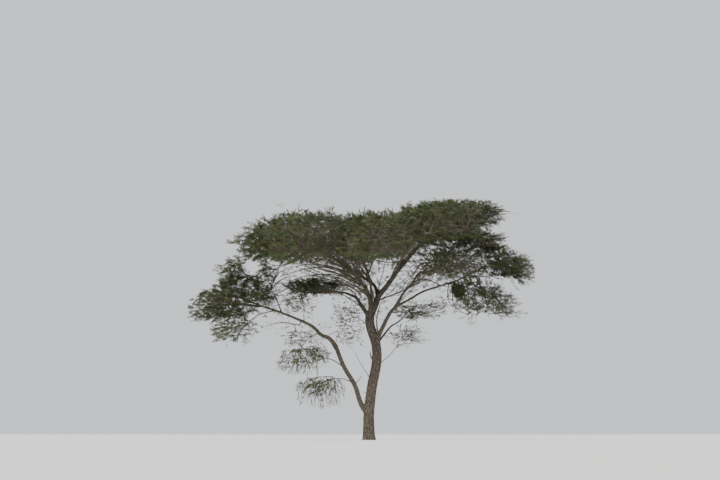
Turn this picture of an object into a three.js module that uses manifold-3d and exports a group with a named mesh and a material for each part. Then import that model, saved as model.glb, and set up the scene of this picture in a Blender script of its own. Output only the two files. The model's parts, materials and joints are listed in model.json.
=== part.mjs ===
// An umbrella thorn acacia, 10 m tall: a trunk, its boughs, and masses of twigs that carry sprays of leaves.
// Millimetres, +Z up, +X to the right and +Y away from the viewer. The origin is the middle of the flat cut
// under the trunk, at ground level. Each limb and each mass is one closed solid of its own.
import * as THREE from "three";
import { mergeVertices } from "three/addons/utils/BufferGeometryUtils.js";
import Module from "manifold-3d";

const wasm = await Module();
wasm.setup();

// Gaps and section counts.
const seat = 0.3; // gap between a limb and what it grows from
const limbSides = 6;
const limbStep = 700; // length of one straight stretch of a bough
const trunkSides = 15;
const trunkSteps = 12;
const collar = 0.22; // how much a bough widens where it leaves its parent

// The trunk: its centreline from the ground to the fork, and its radii there.
const trunkWay = [
  [0, 0, 0],
  [0, 0, 670],
  [20, 10, 1210],
  [140, 30, 2210],
  [330, 20, 3210],
  [310, 0, 3960],
  [70, -20, 4750],
  [50, -20, 5290],
];
const trunkFoot = 232;
const trunkFork = 190;
const flare = { share: 0.26, height: 330, lobes: 5, depth: 0.12 };

// Boughs: the limbs each one is cut clear of, its radii at both ends, and its way from inside its parent.
const boughs = {
  leader: {
    on: ["trunk"],
    radii: [139, 112],
    way: [[50, -20, 5180], [210, -10, 5470], [340, 10, 5770], [410, 30, 6080]],
  },
  left_low_bough: {
    on: ["trunk"],
    radii: [104, 88],
    way: [[-60, 0, 1120], [-330, -60, 1540], [-580, -200, 2290], [-1030, -330, 3060], [-1360, -420, 3880]],
  },
  left_reach_bough: {
    on: ["left_low_bough"],
    radii: [88, 36],
    way: [
      [-1350, -420, 3860],
      [-1620, -450, 4220],
      [-1990, -480, 4390],
      [-2440, -500, 4790],
      [-3700, -350, 5330],
      [-4400, -250, 5560],
    ],
  },
  left_riser: {
    on: ["left_reach_bough"],
    radii: [30, 20],
    way: [[-3620, -360, 5300], [-3820, -180, 5820], [-4060, 0, 6270]],
  },
  left_droop_bough: {
    on: ["left_reach_bough"],
    radii: [26, 17],
    way: [[-3900, -330, 5400], [-4560, -800, 5210], [-4900, -1050, 4960]],
  },
  left_sprig_bough: {
    on: ["left_reach_bough"],
    radii: [17, 12],
    way: [[-2660, -490, 4880], [-2700, -500, 5180], [-2670, -520, 5400]],
  },
  left_underside_bough: {
    on: ["left_reach_bough"],
    radii: [18, 12],
    way: [[-1990, -480, 4380], [-2160, -700, 4400], [-2330, -860, 4360]],
  },
  hanging_upper_bough: {
    on: ["left_low_bough"],
    radii: [26, 17],
    way: [[-990, -320, 2980], [-1430, -470, 3300], [-1880, -560, 3430]],
  },
  hanging_lower_bough: {
    on: ["left_low_bough"],
    radii: [24, 15],
    way: [[-640, -220, 2380], [-1060, -370, 2550], [-1440, -500, 2560]],
  },
  bare_shoot: {
    on: ["trunk"],
    radii: [20, 9],
    way: [[180, 20, 2380], [-220, -120, 3010], [-480, -160, 3460], [-580, -170, 3680]],
  },
  inner_twig_bough: {
    on: ["trunk"],
    radii: [20, 13],
    way: [[150, 0, 4650], [-180, 230, 4900], [-420, 380, 5080]],
  },
  right_twig_bough: {
    on: ["trunk"],
    radii: [18, 12],
    way: [[330, 20, 3060], [900, 220, 3560], [1180, 330, 3920]],
  },
  shelf_bough: {
    on: ["trunk", "leader"],
    radii: [88, 46],
    way: [[30, -10, 5130], [-320, 120, 5620], [-530, 400, 5940], [-980, 900, 6140]],
  },
  left_bough: {
    on: ["trunk", "leader", "shelf_bough"],
    radii: [92, 46],
    way: [
      [40, -20, 5180],
      [80, -80, 5620],
      [0, -110, 6020],
      [-230, -160, 6460],
      [-1030, -250, 7330],
      [-2480, -300, 7980],
    ],
  },
  left_front_bough: {
    on: ["left_bough"],
    radii: [58, 30],
    way: [[-60, -130, 6180], [-440, -700, 6750], [-1230, -1500, 7360], [-1780, -2000, 7790]],
  },
  front_bough: {
    on: ["left_front_bough"],
    radii: [42, 28],
    way: [[-440, -700, 6750], [-620, -1250, 7120], [-450, -1950, 7460], [-120, -2640, 7860]],
  },
  back_left_bough: {
    on: ["leader"],
    radii: [72, 34],
    way: [[400, 30, 5990], [260, 250, 6400], [-30, 600, 6660], [-1190, 1700, 7400], [-1830, 2200, 7890]],
  },
  centre_bough: {
    on: ["back_left_bough"],
    radii: [28, 20],
    way: [[-70, 640, 6690], [30, 700, 7020], [160, 560, 7540]],
  },
  back_bough: {
    on: ["back_left_bough"],
    radii: [40, 28],
    way: [[-330, 890, 6850], [-520, 1450, 7180], [-260, 2100, 7600], [130, 2750, 8030]],
  },
  right_bough: {
    on: ["leader", "back_left_bough"],
    radii: [104, 58],
    way: [[400, 30, 6000], [780, -40, 6440], [1310, -140, 7190], [2010, -150, 7970], [3050, -60, 8900]],
  },
  right_front_bough: {
    on: ["right_bough"],
    radii: [54, 34],
    way: [[1180, -120, 6990], [1380, -850, 7550], [2150, -2150, 8580]],
  },
  right_back_bough: {
    on: ["right_bough"],
    radii: [52, 34],
    way: [[1370, -140, 7260], [1500, 720, 7800], [2200, 2130, 8620]],
  },
  right_inner_bough: {
    on: ["leader"],
    radii: [32, 22],
    way: [[330, 10, 5800], [1020, 450, 6060], [1600, 900, 6330], [2230, 1500, 6860]],
  },
  right_low_bough: {
    on: ["trunk"],
    radii: [94, 72],
    way: [[290, 0, 4060], [610, -250, 4740], [880, -420, 5260], [1140, -520, 5560]],
  },
  right_rising_bough: {
    on: ["right_low_bough"],
    radii: [58, 36],
    way: [
      [1110, -510, 5540], [1430, -650, 6080], [1840, -800, 6580], [2130, -870, 6960],
      [2600, -840, 7020], [3000, -830, 7300], [3290, -860, 7780],
    ],
  },
  right_reach_bough: {
    on: ["right_low_bough", "right_rising_bough"],
    radii: [54, 28],
    way: [[1110, -510, 5540], [1750, -480, 5880], [2340, -420, 6210], [3680, -250, 6650], [4870, -150, 7240]],
  },
  right_front_low_bough: {
    on: ["right_rising_bough"],
    radii: [30, 22],
    way: [[2100, -858, 6930], [2500, -1180, 7020], [2870, -1420, 7190]],
  },
  right_under_bough: {
    on: ["right_reach_bough"],
    radii: [28, 18],
    way: [[2900, -350, 6410], [3400, -640, 6500], [3800, -860, 6430]],
  },
  clump_bough: {
    on: ["right_reach_bough"],
    radii: [24, 18],
    way: [[3560, -260, 6620], [3640, -260, 6500], [3690, -250, 6420]],
  },
  right_fan_bough: {
    on: ["trunk", "right_low_bough"],
    radii: [54, 26],
    way: [[290, 20, 3930], [880, 350, 4680], [1170, 520, 4880], [1470, 700, 5130], [1590, 790, 5400]],
  },
};

// Masses of foliage: the bough whose tip each grows from, the middle and half size of its space, how the
// space slopes to the right and to the back, how much of its half height it keeps under its middle, its
// boxiness, its twigs and sprays, the share of it that a dense core fills, and the furthest tips that its
// first sprays reach.
const masses = {
  crown_centre: {
    on: "centre_bough", at: [450, 100, 8500], half: [2750, 2600, 1080],
    slope: [0.06, 0], twigs: 6, sprays: 8, core: 0.86,
    tips: [[1560, 300, 9880]],
  },
  crown_left: {
    on: "left_bough", at: [-3880, -350, 8440], half: [1820, 2000, 980],
    slope: [0.3, 0], boxiness: 2.6, twigs: 10, sprays: 20, core: 0.8,
    tips: [[-3560, -300, 9690], [-5690, -350, 8140]],
  },
  crown_left_front: {
    on: "left_front_bough", at: [-2450, -3150, 8420], half: [1900, 1800, 1060],
    slope: [0.12, 0.12], twigs: 8, sprays: 15, core: 0.82,
  },
  crown_front: {
    on: "front_bough", at: [400, -4100, 8440], half: [1800, 1800, 950],
    slope: [0.05, 0.14], twigs: 8, sprays: 15, core: 0.82,
  },
  crown_right_front: {
    on: "right_front_bough", at: [2950, -2950, 9080], half: [1850, 1750, 850],
    slope: [0.05, 0.1], twigs: 8, sprays: 15, core: 0.82,
  },
  crown_right: {
    on: "right_bough", at: [3850, -50, 9340], half: [1700, 1750, 640],
    slope: [0.02, 0], twigs: 10, sprays: 20, core: 0.82,
    tips: [[2500, -60, 10080], [5960, -50, 9450]],
  },
  crown_right_back: {
    on: "right_back_bough", at: [2900, 3000, 9100], half: [1850, 1750, 830],
    slope: [0.05, -0.1], twigs: 8, sprays: 15, core: 0.82,
  },
  crown_back: {
    on: "back_bough", at: [200, 4150, 8560], half: [1800, 1800, 930],
    slope: [0.04, -0.12], twigs: 8, sprays: 15, core: 0.82,
  },
  crown_left_back: {
    on: "back_left_bough", at: [-2650, 3050, 8480], half: [1900, 1750, 1020],
    slope: [0.1, -0.12], twigs: 8, sprays: 15, core: 0.82,
  },
  right_second_tier: {
    on: "right_rising_bough", at: [4050, -950, 8300], half: [1650, 1350, 400],
    slope: [-0.02, 0], twigs: 8, sprays: 15, core: 0.7,
  },
  right_shelf: {
    on: "right_reach_bough", at: [5700, -150, 7430], half: [1250, 1300, 600],
    slope: [-0.42, 0], twigs: 9, sprays: 20, core: 0.7,
    tips: [[6950, -150, 6840], [5980, -300, 6500]],
  },
  right_front_net: {
    on: "right_front_low_bough", at: [3750, -1900, 7330], half: [1250, 1000, 620],
    slope: [0, 0.1], twigs: 10, sprays: 20,
  },
  right_back_net: {
    on: "right_inner_bough", at: [3250, 2250, 7420], half: [1300, 1000, 560],
    slope: [0, -0.1], twigs: 10, sprays: 20,
  },
  right_under: {
    on: "right_under_bough", at: [4780, -750, 5930], half: [1450, 1050, 720],
    slope: [-0.3, 0], twigs: 12, sprays: 26,
  },
  left_shelf: {
    on: "left_reach_bough", at: [-5650, -150, 5800], half: [1900, 1450, 900],
    slope: [0.22, 0], under: 0.85, boxiness: 2.3, twigs: 12, sprays: 26, core: 0.7,
    tips: [[-7560, -150, 5290], [-7270, -250, 5830], [-7140, -300, 4930]],
  },
  left_spur: {
    on: "left_riser", at: [-5050, 250, 6950], half: [1200, 1000, 650],
    slope: [0, 0], twigs: 10, sprays: 22,
  },
  left_droop: {
    on: "left_droop_bough", at: [-5500, -1250, 4620], half: [830, 700, 460],
    slope: [0.1, 0], twigs: 6, sprays: 10,
    tips: [[-6200, -1250, 4210], [-5780, -1400, 4060]],
  },
  left_sprig: {
    on: "left_sprig_bough", at: [-2850, -560, 5680], half: [540, 480, 400],
    slope: [0, 0], twigs: 5, sprays: 5,
  },
  left_underside: {
    on: "left_underside_bough", at: [-2750, -1100, 4310], half: [720, 560, 330],
    slope: [0, 0], twigs: 5, sprays: 6,
  },
  hanging_upper: {
    on: "hanging_upper_bough", at: [-2680, -650, 3520], half: [1120, 760, 480],
    slope: [0.08, 0], twigs: 7, sprays: 10,
  },
  hanging_lower: {
    on: "hanging_lower_bough", at: [-1960, -600, 2240], half: [1080, 760, 560],
    slope: [0, 0], twigs: 7, sprays: 10,
  },
  inner_twigs: {
    on: "inner_twig_bough", at: [-780, 620, 4850], half: [620, 560, 900],
    slope: [0, 0], twigs: 5, sprays: 6,
  },
  right_low_twigs: {
    on: "right_twig_bough", at: [1560, 460, 4290], half: [680, 520, 420],
    slope: [0.1, 0], twigs: 5, sprays: 7,
  },
  right_fan: {
    on: "right_fan_bough", at: [2200, 950, 5400], half: [1020, 700, 340],
    slope: [0.08, 0], twigs: 7, sprays: 10,
  },
  inner_shelf: {
    on: "shelf_bough", at: [-2130, 1450, 6290], half: [1320, 950, 430],
    slope: [0, 0], under: 0.4, boxiness: 2.1, twigs: 9, sprays: 16, core: 0.66,
  },
  stick_clump: {
    on: "clump_bough", at: [3740, -250, 6200], half: [340, 340, 370],
    slope: [0, 0], twigs: 6, sprays: 0, core: 0.86,
  },
};

// How masses share out the crown, and how their twigs and sprays are sized.
const flatness = 2.2; // heights count this much more than widths when two masses share the space between them
const usualBoxiness = 3; // exponent of a mass's outline: 2 is an ellipsoid, more is boxier
const cellGap = 8; // least distance between a mass and its border with the next
const twigReach = 0.66; // twigs end at this share of the way to the outline
const twigTip = 13;
const twigGrowth = 0.5; // exponent with which a twig thickens with what it carries
const stemLength = 160;
const pathCost = 0.35; // how much a long way back to the stem counts against a fork
const spray = { length: 1100, least: 400, width: 0.44, thick: 0.26, widest: 0.42, sink: 40 };
const mostNewFaces = 18; // a spray that would add more faces than this when fused cuts through its neighbours
const crownMiddle = new THREE.Vector3(0, 0, 7600);
const outwardness = 0.5; // how much twigs' ends favour the outside of the crown over an even spread
const endTries = 120; // places tried for each twig's end
const sprayTries = 14;
const widestSwing = 1.4; // how far round a spray may turn from its twig, in radians
const limbClearance = 14;
const coreSides = 10;
const coreRings = 6;
const coreRoughness = 0.14;
const barkColour = "#5b4c3e";
const leafColour = "#55602f";
const stickColour = "#4a3c2c";

// Small helpers.
function randomFrom(seed) {
  let state = seed >>> 0;
  return () => {
    state = (state + 0x6d2b79f5) >>> 0;
    let mixed = Math.imul(state ^ (state >>> 15), 1 | state);
    mixed = (mixed + Math.imul(mixed ^ (mixed >>> 7), 61 | mixed)) ^ mixed;
    return ((mixed ^ (mixed >>> 14)) >>> 0) / 4294967296;
  };
}

const point = (xyz) => new THREE.Vector3(...xyz);
const mix = THREE.MathUtils.lerp;

function solidOf(geometry) {
  const bare = geometry.clone();
  bare.deleteAttribute("normal");
  bare.deleteAttribute("uv");
  const merged = mergeVertices(bare, 1e-3);
  const vertProperties = new Float32Array(merged.attributes.position.array);
  const triVerts = new Uint32Array(merged.index.array);
  return new wasm.Manifold(new wasm.Mesh({ numProp: 3, vertProperties, triVerts }));
}

// The largest body of a solid, without scraps or sealed hollows.
function mainBody(solid) {
  return solid.decompose().reduce((best, body) => (body.volume() > best.volume() ? body : best));
}

function geometryOf(solid) {
  const { numProp, numVert, vertProperties, triVerts } = solid.getMesh();
  const positions = new Float32Array(numVert * 3);
  for (let i = 0; i < numVert; i += 1) {
    positions.set(vertProperties.subarray(i * numProp, i * numProp + 3), i * 3);
  }
  const geometry = new THREE.BufferGeometry();
  geometry.setAttribute("position", new THREE.BufferAttribute(positions, 3));
  geometry.setIndex(new THREE.BufferAttribute(triVerts, 1));
  geometry.computeVertexNormals();
  return geometry;
}

// Limbs: a cylinder whose rings are laid along a curve.
function curveOf(way) {
  return new THREE.CatmullRomCurve3(way.map(point), false, "catmullrom", 0.5);
}

function limbGeometry(way, radiusAt, sides, steps, extra) {
  const curve = curveOf(way);
  const frames = curve.computeFrenetFrames(steps, false);
  const geometry = new THREE.CylinderGeometry(1, 1, 1, sides, steps);
  const position = geometry.attributes.position;
  for (let i = 0; i < position.count; i += 1) {
    const ring = Math.round((position.getY(i) + 0.5) * steps);
    const [across, along] = [position.getX(i), -position.getZ(i)];
    const radius = radiusAt(ring / steps, Math.atan2(along, across)) + extra;
    const placed = curve.getPointAt(ring / steps);
    if (ring === steps) placed.addScaledVector(frames.tangents[ring], extra);
    placed.addScaledVector(frames.normals[ring], across * radius);
    placed.addScaledVector(frames.binormals[ring], along * radius);
    position.setXYZ(i, placed.x, placed.y, placed.z);
  }
  return geometry;
}

function trunkGeometry(extra) {
  const height = curveOf(trunkWay).getLength();
  const radiusAt = (share, angle) => {
    const fade = Math.exp((-share * height) / flare.height);
    const lobes = 1 + flare.depth * Math.cos(flare.lobes * angle) * fade;
    return mix(trunkFoot, trunkFork, share) * (1 + flare.share * fade) * lobes;
  };
  const geometry = limbGeometry(trunkWay, radiusAt, trunkSides, trunkSteps, extra);
  const position = geometry.attributes.position;
  for (let i = 0; i < position.count; i += 1) {
    if (position.getZ(i) < 1) position.setZ(i, 0);
  }
  return geometry;
}

function boughGeometry({ way, radii }, extra) {
  const length = curveOf(way).getLength();
  const steps = Math.max(3, Math.round(length / limbStep) + 1);
  const radiusAt = (share) => {
    const swell = collar * radii[0] * Math.exp((-share * length) / (4 * radii[0]));
    return mix(radii[0], radii[1], share) + swell;
  };
  return limbGeometry(way, radiusAt, limbSides, steps, extra);
}

function makeLimbs() {
  const limbs = new Map([["trunk", solidOf(trunkGeometry(0))]]);
  const cutters = new Map([["trunk", solidOf(trunkGeometry(seat))]]);
  for (const [name, bough] of Object.entries(boughs)) {
    let solid = solidOf(boughGeometry(bough, 0));
    for (const parent of bough.on) solid = solid.subtract(cutters.get(parent));
    limbs.set(name, mainBody(solid));
    cutters.set(name, solidOf(boughGeometry(bough, seat)));
  }
  return limbs;
}

// Straight stretches of every limb, for keeping twigs and sprays clear of them.
function limbStretches() {
  const stretches = [];
  const add = (name, way, first, last) => {
    const points = curveOf(way).getSpacedPoints(10);
    for (let i = 0; i < 10; i += 1) {
      const radius = mix(first, last, i / 10) * (1 + (i < 2 ? collar : 0));
      stretches.push({ name, from: points[i], to: points[i + 1], radius });
    }
  };
  add("trunk", trunkWay, trunkFoot, trunkFork);
  for (const [name, { way, radii }] of Object.entries(boughs)) add(name, way, ...radii);
  return stretches;
}

function distanceBetween(a, b, c, d) {
  let least = Infinity;
  const line = new THREE.Line3(c, d);
  const near = new THREE.Vector3();
  const probe = new THREE.Vector3();
  for (let i = 0; i <= 8; i += 1) {
    probe.lerpVectors(a, b, i / 8);
    line.closestPointToPoint(probe, true, near);
    least = Math.min(least, near.distanceTo(probe));
  }
  return least;
}

// The space that a mass keeps to: inside its own outline, and on its own side of the border with each other
// mass. Some are flatter below their middle than above it.
function spaceOf(name) {
  const own = masses[name];
  const { under = 1, boxiness = usualBoxiness } = own;
  const scaled = ([x, y, z]) => new THREE.Vector3(x, y, z * flatness);
  const sizeOf = ({ half }) => ((half[0] + half[1] + half[2] * flatness) / 3) ** 2;
  const middle = scaled(own.at);
  const borders = Object.entries(masses)
    .filter(([other]) => other !== name)
    .map(([, other]) => {
      const far = scaled(other.at);
      const apart = far.distanceTo(middle);
      const share = (apart ** 2 + sizeOf(own) - sizeOf(other)) / (2 * apart);
      return { towards: far.sub(middle).divideScalar(apart), limit: share - cellGap };
    });
  const outline = (p) => {
    const across = (p.x - own.at[0]) / own.half[0];
    const back = (p.y - own.at[1]) / own.half[1];
    const lift = own.slope[0] * (p.x - own.at[0]) + own.slope[1] * (p.y - own.at[1]);
    const rise = p.z - own.at[2] - lift;
    const up = Math.abs(rise) / own.half[2] / (rise < 0 ? under : 1);
    return (Math.hypot(across, back) ** boxiness + up ** boxiness) ** (1 / boxiness);
  };
  const inCell = (p) => {
    const offset = scaled(p.toArray()).sub(middle);
    return borders.every(({ towards, limit }) => offset.dot(towards) < limit);
  };
  return { outline, inCell };
}

// The points that a mass's twigs lead to: one below each tip, the rest spread evenly by picking the best of
// several candidates.
function twigEnds(name, space, random) {
  const { at, half, twigs, core = 0.17, tips = [] } = masses[name];
  const inner = core + 0.03;
  const outer = Math.max(twigReach, core + 0.1);
  const ends = tips.map((tip) => point(at).lerp(point(tip), outer));
  for (let turn = 0; turn < twigs; turn += 1) {
    let best = null;
    for (let tries = 0; tries < endTries; tries += 1) {
      const candidate = new THREE.Vector3(
        at[0] + half[0] * (2 * random() - 1),
        at[1] + half[1] * (2 * random() - 1),
        at[2] + half[2] * 1.5 * (2 * random() - 1),
      );
      const depth = space.outline(candidate);
      if (depth > outer || depth < inner || !space.inCell(candidate)) continue;
      const gap = Math.min(3 * half[0], ...ends.map((end) => end.distanceTo(candidate)));
      const room = gap + outwardness * candidate.distanceTo(crownMiddle);
      if (!best || room > best.room) best = { candidate, room };
    }
    if (best) ends.push(best.candidate);
  }
  return ends;
}

// Joins the points into one tree from the stem: the next point is always the one that is cheapest to reach.
function growTree(start, heading, middle, ends, clear) {
  const stem = start.clone().addScaledVector(heading, stemLength);
  const nodes = [
    { at: start, parent: null, path: 0, load: 0 },
    { at: stem, parent: 0, path: stemLength, load: 0 },
  ];
  if (middle) nodes.push({ at: middle, parent: 1, path: stemLength + stem.distanceTo(middle), load: 0 });
  const waiting = [...ends];
  while (waiting.length) {
    let best = null;
    for (const [index, end] of waiting.entries()) {
      for (let parent = 1; parent < nodes.length; parent += 1) {
        const step = nodes[parent].at.distanceTo(end);
        const cost = step + pathCost * nodes[parent].path;
        if ((!best || cost < best.cost) && clear(nodes[parent].at, end)) best = { index, parent, step, cost };
      }
    }
    if (!best) break;
    const [end] = waiting.splice(best.index, 1);
    nodes.push({ at: end, parent: best.parent, path: nodes[best.parent].path + best.step, load: 0 });
  }
  for (let i = nodes.length - 1; i > 0; i -= 1) {
    nodes[i].load += 1;
    nodes[nodes[i].parent].load += nodes[i].load;
  }
  return nodes;
}

function rod(from, to, firstRadius, lastRadius, sides) {
  const along = to.clone().sub(from);
  const geometry = new THREE.CylinderGeometry(lastRadius, firstRadius, along.length(), sides);
  geometry.translate(0, along.length() / 2, 0);
  const turn = new THREE.Quaternion();
  turn.setFromUnitVectors(new THREE.Vector3(0, 1, 0), along.clone().normalize());
  geometry.applyQuaternion(turn).translate(from.x, from.y, from.z);
  return geometry;
}

// A spray of leaves: a flat blade of eight faces, pointed at both ends.
function sprayGeometry(root, heading, roll, length) {
  const geometry = new THREE.OctahedronGeometry(1);
  const position = geometry.attributes.position;
  for (let i = 0; i < position.count; i += 1) {
    const along = position.getX(i) / 2 + 0.5;
    const share = Math.abs(position.getX(i)) > 0.5 ? along : spray.widest;
    position.setXYZ(
      i,
      share * length - spray.sink,
      (position.getY(i) * spray.width * length) / 2,
      (position.getZ(i) * spray.thick * length) / 2,
    );
  }
  const side = new THREE.Vector3(0, 0, 1).cross(heading).normalize().applyAxisAngle(heading, roll);
  const frame = new THREE.Matrix4().makeBasis(heading, side, heading.clone().cross(side));
  return geometry.applyMatrix4(frame).translate(root.x, root.y, root.z);
}

function cornersOf(geometry) {
  const position = geometry.attributes.position;
  const corners = [];
  for (let i = 0; i < position.count; i += 1) {
    corners.push(new THREE.Vector3().fromBufferAttribute(position, i));
  }
  return corners;
}

// How long a spray can be before its tip would leave the space, up to the length wanted.
function longestInside(space, root, heading, wanted) {
  const tip = new THREE.Vector3();
  let length = wanted;
  while (length > spray.least / 2) {
    tip.copy(root).addScaledVector(heading, length - spray.sink);
    if (space.outline(tip) < 0.99) break;
    length -= 25;
  }
  return length;
}

// Sprays stand on the twigs: one out to each tip, then the outermost first, each turned until it lies inside
// the space and clear of the other sprays.
function addSprays(name, twigWood, nodes, space, clear, random) {
  const { at, sprays, tips = [] } = masses[name];
  const middle = point(at);
  const carriers = nodes.slice(2).sort((a, b) => space.outline(b.at) - space.outline(a.at));
  let fused = twigWood;
  for (const tip of tips.map(point)) {
    const { at: root } = carriers.reduce((a, b) => (a.at.distanceTo(tip) < b.at.distanceTo(tip) ? a : b));
    const heading = tip.clone().sub(root).normalize();
    fused = fused.add(solidOf(sprayGeometry(root, heading, 0.4, tip.distanceTo(root) + spray.sink)));
  }
  let made = tips.length;
  for (let turn = 0; turn < 6 * carriers.length && made < sprays; turn += 1) {
    const { at: root, parent } = carriers[turn % carriers.length];
    const outward = root.clone().sub(middle).setZ(0).normalize();
    const onward = root.clone().sub(nodes[parent].at).normalize();
    for (let tries = 0; tries < sprayTries; tries += 1) {
      const heading = outward.clone().multiplyScalar(0.5).addScaledVector(onward, 0.5);
      const swing = (random() - 0.5) * widestSwing * (1 + turn / carriers.length);
      heading.applyAxisAngle(new THREE.Vector3(0, 0, 1), swing);
      heading.setZ(heading.z * 0.4 + 0.7 * (random() - 0.35)).normalize();
      const wanted = mix(spray.length, spray.least, tries / sprayTries) * (0.85 + 0.3 * random());
      const length = longestInside(space, root, heading, wanted);
      if (length < spray.least) continue;
      const geometry = sprayGeometry(root, heading, (random() - 0.5) * 2.6, length);
      const corners = cornersOf(geometry);
      const inside = corners.every((corner) => space.outline(corner) < 1 && space.inCell(corner));
      const tip = root.clone().addScaledVector(heading, length - spray.sink);
      if (!inside || !clear(root, tip, spray.width * length * 0.4)) continue;
      const joined = fused.add(solidOf(geometry));
      if (joined.numTri() - fused.numTri() > mostNewFaces) continue;
      fused = joined;
      made += 1;
      break;
    }
  }
  return fused;
}

// The dense middle of a mass, drawn in wherever it would leave the mass's space.
function coreGeometry(name, space) {
  const { at, half, slope, core } = masses[name];
  const geometry = new THREE.SphereGeometry(1, coreSides, coreRings).rotateX(Math.PI / 2);
  const position = geometry.attributes.position;
  const middle = point(at);
  const corner = new THREE.Vector3();
  for (let i = 0; i < position.count; i += 1) {
    const ray = new THREE.Vector3().fromBufferAttribute(position, i);
    const dent = (coreRoughness * (1 + Math.sin(6 * ray.x + 9 * ray.y + 7 * ray.z + at[0]))) / 2;
    ray.multiply(point(half));
    ray.z += slope[0] * ray.x + slope[1] * ray.y;
    ray.divideScalar(space.outline(ray.clone().add(middle)));
    for (let share = core * (1 - dent); share > 0.1; share -= 0.02) {
      corner.copy(ray).multiplyScalar(share).add(middle);
      if (space.inCell(corner)) break;
    }
    position.setXYZ(i, corner.x, corner.y, corner.z);
  }
  return geometry;
}

function makeMass(name, seed, limbs, stretches) {
  const random = randomFrom(seed);
  const { on, at, core } = masses[name];
  const space = spaceOf(name);
  const { way, radii } = boughs[on];
  const curve = curveOf(way);
  const heading = curve.getTangentAt(1);
  const start = curve.getPointAt(1).addScaledVector(heading, seat);
  const clear = (from, to, reach = 3 * twigTip) =>
    stretches.every((s) => distanceBetween(from, to, s.from, s.to) > s.radius + reach + limbClearance);
  const middle = core ? point(at) : null;
  const nodes = growTree(start, heading, middle, twigEnds(name, space, random), clear);

  const pieces = [];
  if (core) pieces.push(coreGeometry(name, space));
  for (const { at: to, parent, load } of nodes.slice(1)) {
    const from = nodes[parent].at;
    const first = parent === 0 ? radii[1] : twigTip * Math.max(1, load) ** twigGrowth;
    const onward = to.clone().sub(from).normalize();
    const sunk = parent === 0 ? from : from.clone().addScaledVector(onward, -twigTip);
    pieces.push(rod(sunk, to, Math.min(first, radii[1] * 1.2), Math.max(twigTip, first * 0.62), 3));
  }
  let solid = addSprays(name, wasm.Manifold.union(pieces.map(solidOf)), nodes, space, clear, random);
  if (core) {
    for (const [limb, limbSolid] of limbs) {
      if (solid.minGap(limbSolid, 1) >= 1) continue;
      const gap = limb === on ? seat : limbClearance;
      const thicker = limb === "trunk" ? trunkGeometry(gap) : boughGeometry(boughs[limb], gap);
      solid = solid.subtract(solidOf(thicker));
    }
  }
  return mainBody(solid);
}

// The whole tree.
const tree = new THREE.Group();
const materials = Object.fromEntries(
  Object.entries({ bark: barkColour, leaves: leafColour, sticks: stickColour }).map(([name, color]) => [
    name,
    new THREE.MeshStandardMaterial({ color, roughness: 0.9, metalness: 0 }),
  ]),
);

function addMesh(name, solid, material) {
  const mesh = new THREE.Mesh(geometryOf(solid), material);
  mesh.name = name;
  tree.add(mesh);
}

const limbs = makeLimbs();
for (const [name, solid] of limbs) addMesh(name, solid, materials.bark);

const stretches = limbStretches();
for (const [index, name] of Object.keys(masses).entries()) {
  const material = masses[name].sprays ? materials.leaves : materials.sticks;
  addMesh(name, makeMass(name, 101 + 17 * index, limbs, stretches), material);
}

export default tree;
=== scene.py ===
import json
import math

import bpy
import numpy as np
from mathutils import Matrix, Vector, noise

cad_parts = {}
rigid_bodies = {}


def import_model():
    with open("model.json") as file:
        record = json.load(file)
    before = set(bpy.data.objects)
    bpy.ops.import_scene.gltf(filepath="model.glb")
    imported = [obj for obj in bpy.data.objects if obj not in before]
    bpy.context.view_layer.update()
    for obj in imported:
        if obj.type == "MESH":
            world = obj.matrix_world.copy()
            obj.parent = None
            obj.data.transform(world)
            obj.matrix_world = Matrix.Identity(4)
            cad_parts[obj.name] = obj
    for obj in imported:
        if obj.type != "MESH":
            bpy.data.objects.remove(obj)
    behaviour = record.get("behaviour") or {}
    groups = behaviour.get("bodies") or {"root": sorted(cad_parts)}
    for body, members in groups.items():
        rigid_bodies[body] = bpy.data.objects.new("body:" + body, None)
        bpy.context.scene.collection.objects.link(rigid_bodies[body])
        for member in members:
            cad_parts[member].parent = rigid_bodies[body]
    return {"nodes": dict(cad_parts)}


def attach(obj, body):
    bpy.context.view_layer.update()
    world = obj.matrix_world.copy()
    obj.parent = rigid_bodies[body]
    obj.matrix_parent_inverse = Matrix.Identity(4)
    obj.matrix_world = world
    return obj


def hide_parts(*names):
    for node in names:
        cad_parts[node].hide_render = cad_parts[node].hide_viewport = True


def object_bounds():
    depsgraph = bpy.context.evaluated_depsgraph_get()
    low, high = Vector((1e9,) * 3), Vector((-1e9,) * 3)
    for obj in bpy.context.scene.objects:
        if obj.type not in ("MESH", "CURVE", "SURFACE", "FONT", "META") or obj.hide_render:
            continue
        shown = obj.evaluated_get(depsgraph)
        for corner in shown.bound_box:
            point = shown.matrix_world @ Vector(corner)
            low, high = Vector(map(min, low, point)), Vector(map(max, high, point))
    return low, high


# An umbrella thorn acacia, 10 m tall: furrowed trunk and boughs, branches and twigs grown by a seeded
# rule, and sprays of feathery leaves. Metres, +Z up, origin on the ground under the trunk.
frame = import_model()
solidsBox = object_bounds()
print("frame loaded:", len(frame["nodes"]), "nodes")


# Node building, shared by the materials and the Geometry Nodes trees.
class Value:  # an output socket that adds Math nodes when it is used in an expression
    def __init__(self, maker, socket):
        self.maker = maker
        self.socket = socket

    def maths(self, operation, first, second):
        return self.maker.node("ShaderNodeMath", {"operation": operation}, {0: first, 1: second})

    def __add__(self, other):
        return self.maths("ADD", self, other)

    def __radd__(self, other):
        return self.maths("ADD", other, self)

    def __mul__(self, other):
        return self.maths("MULTIPLY", self, other)

    def __rmul__(self, other):
        return self.maths("MULTIPLY", other, self)


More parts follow.
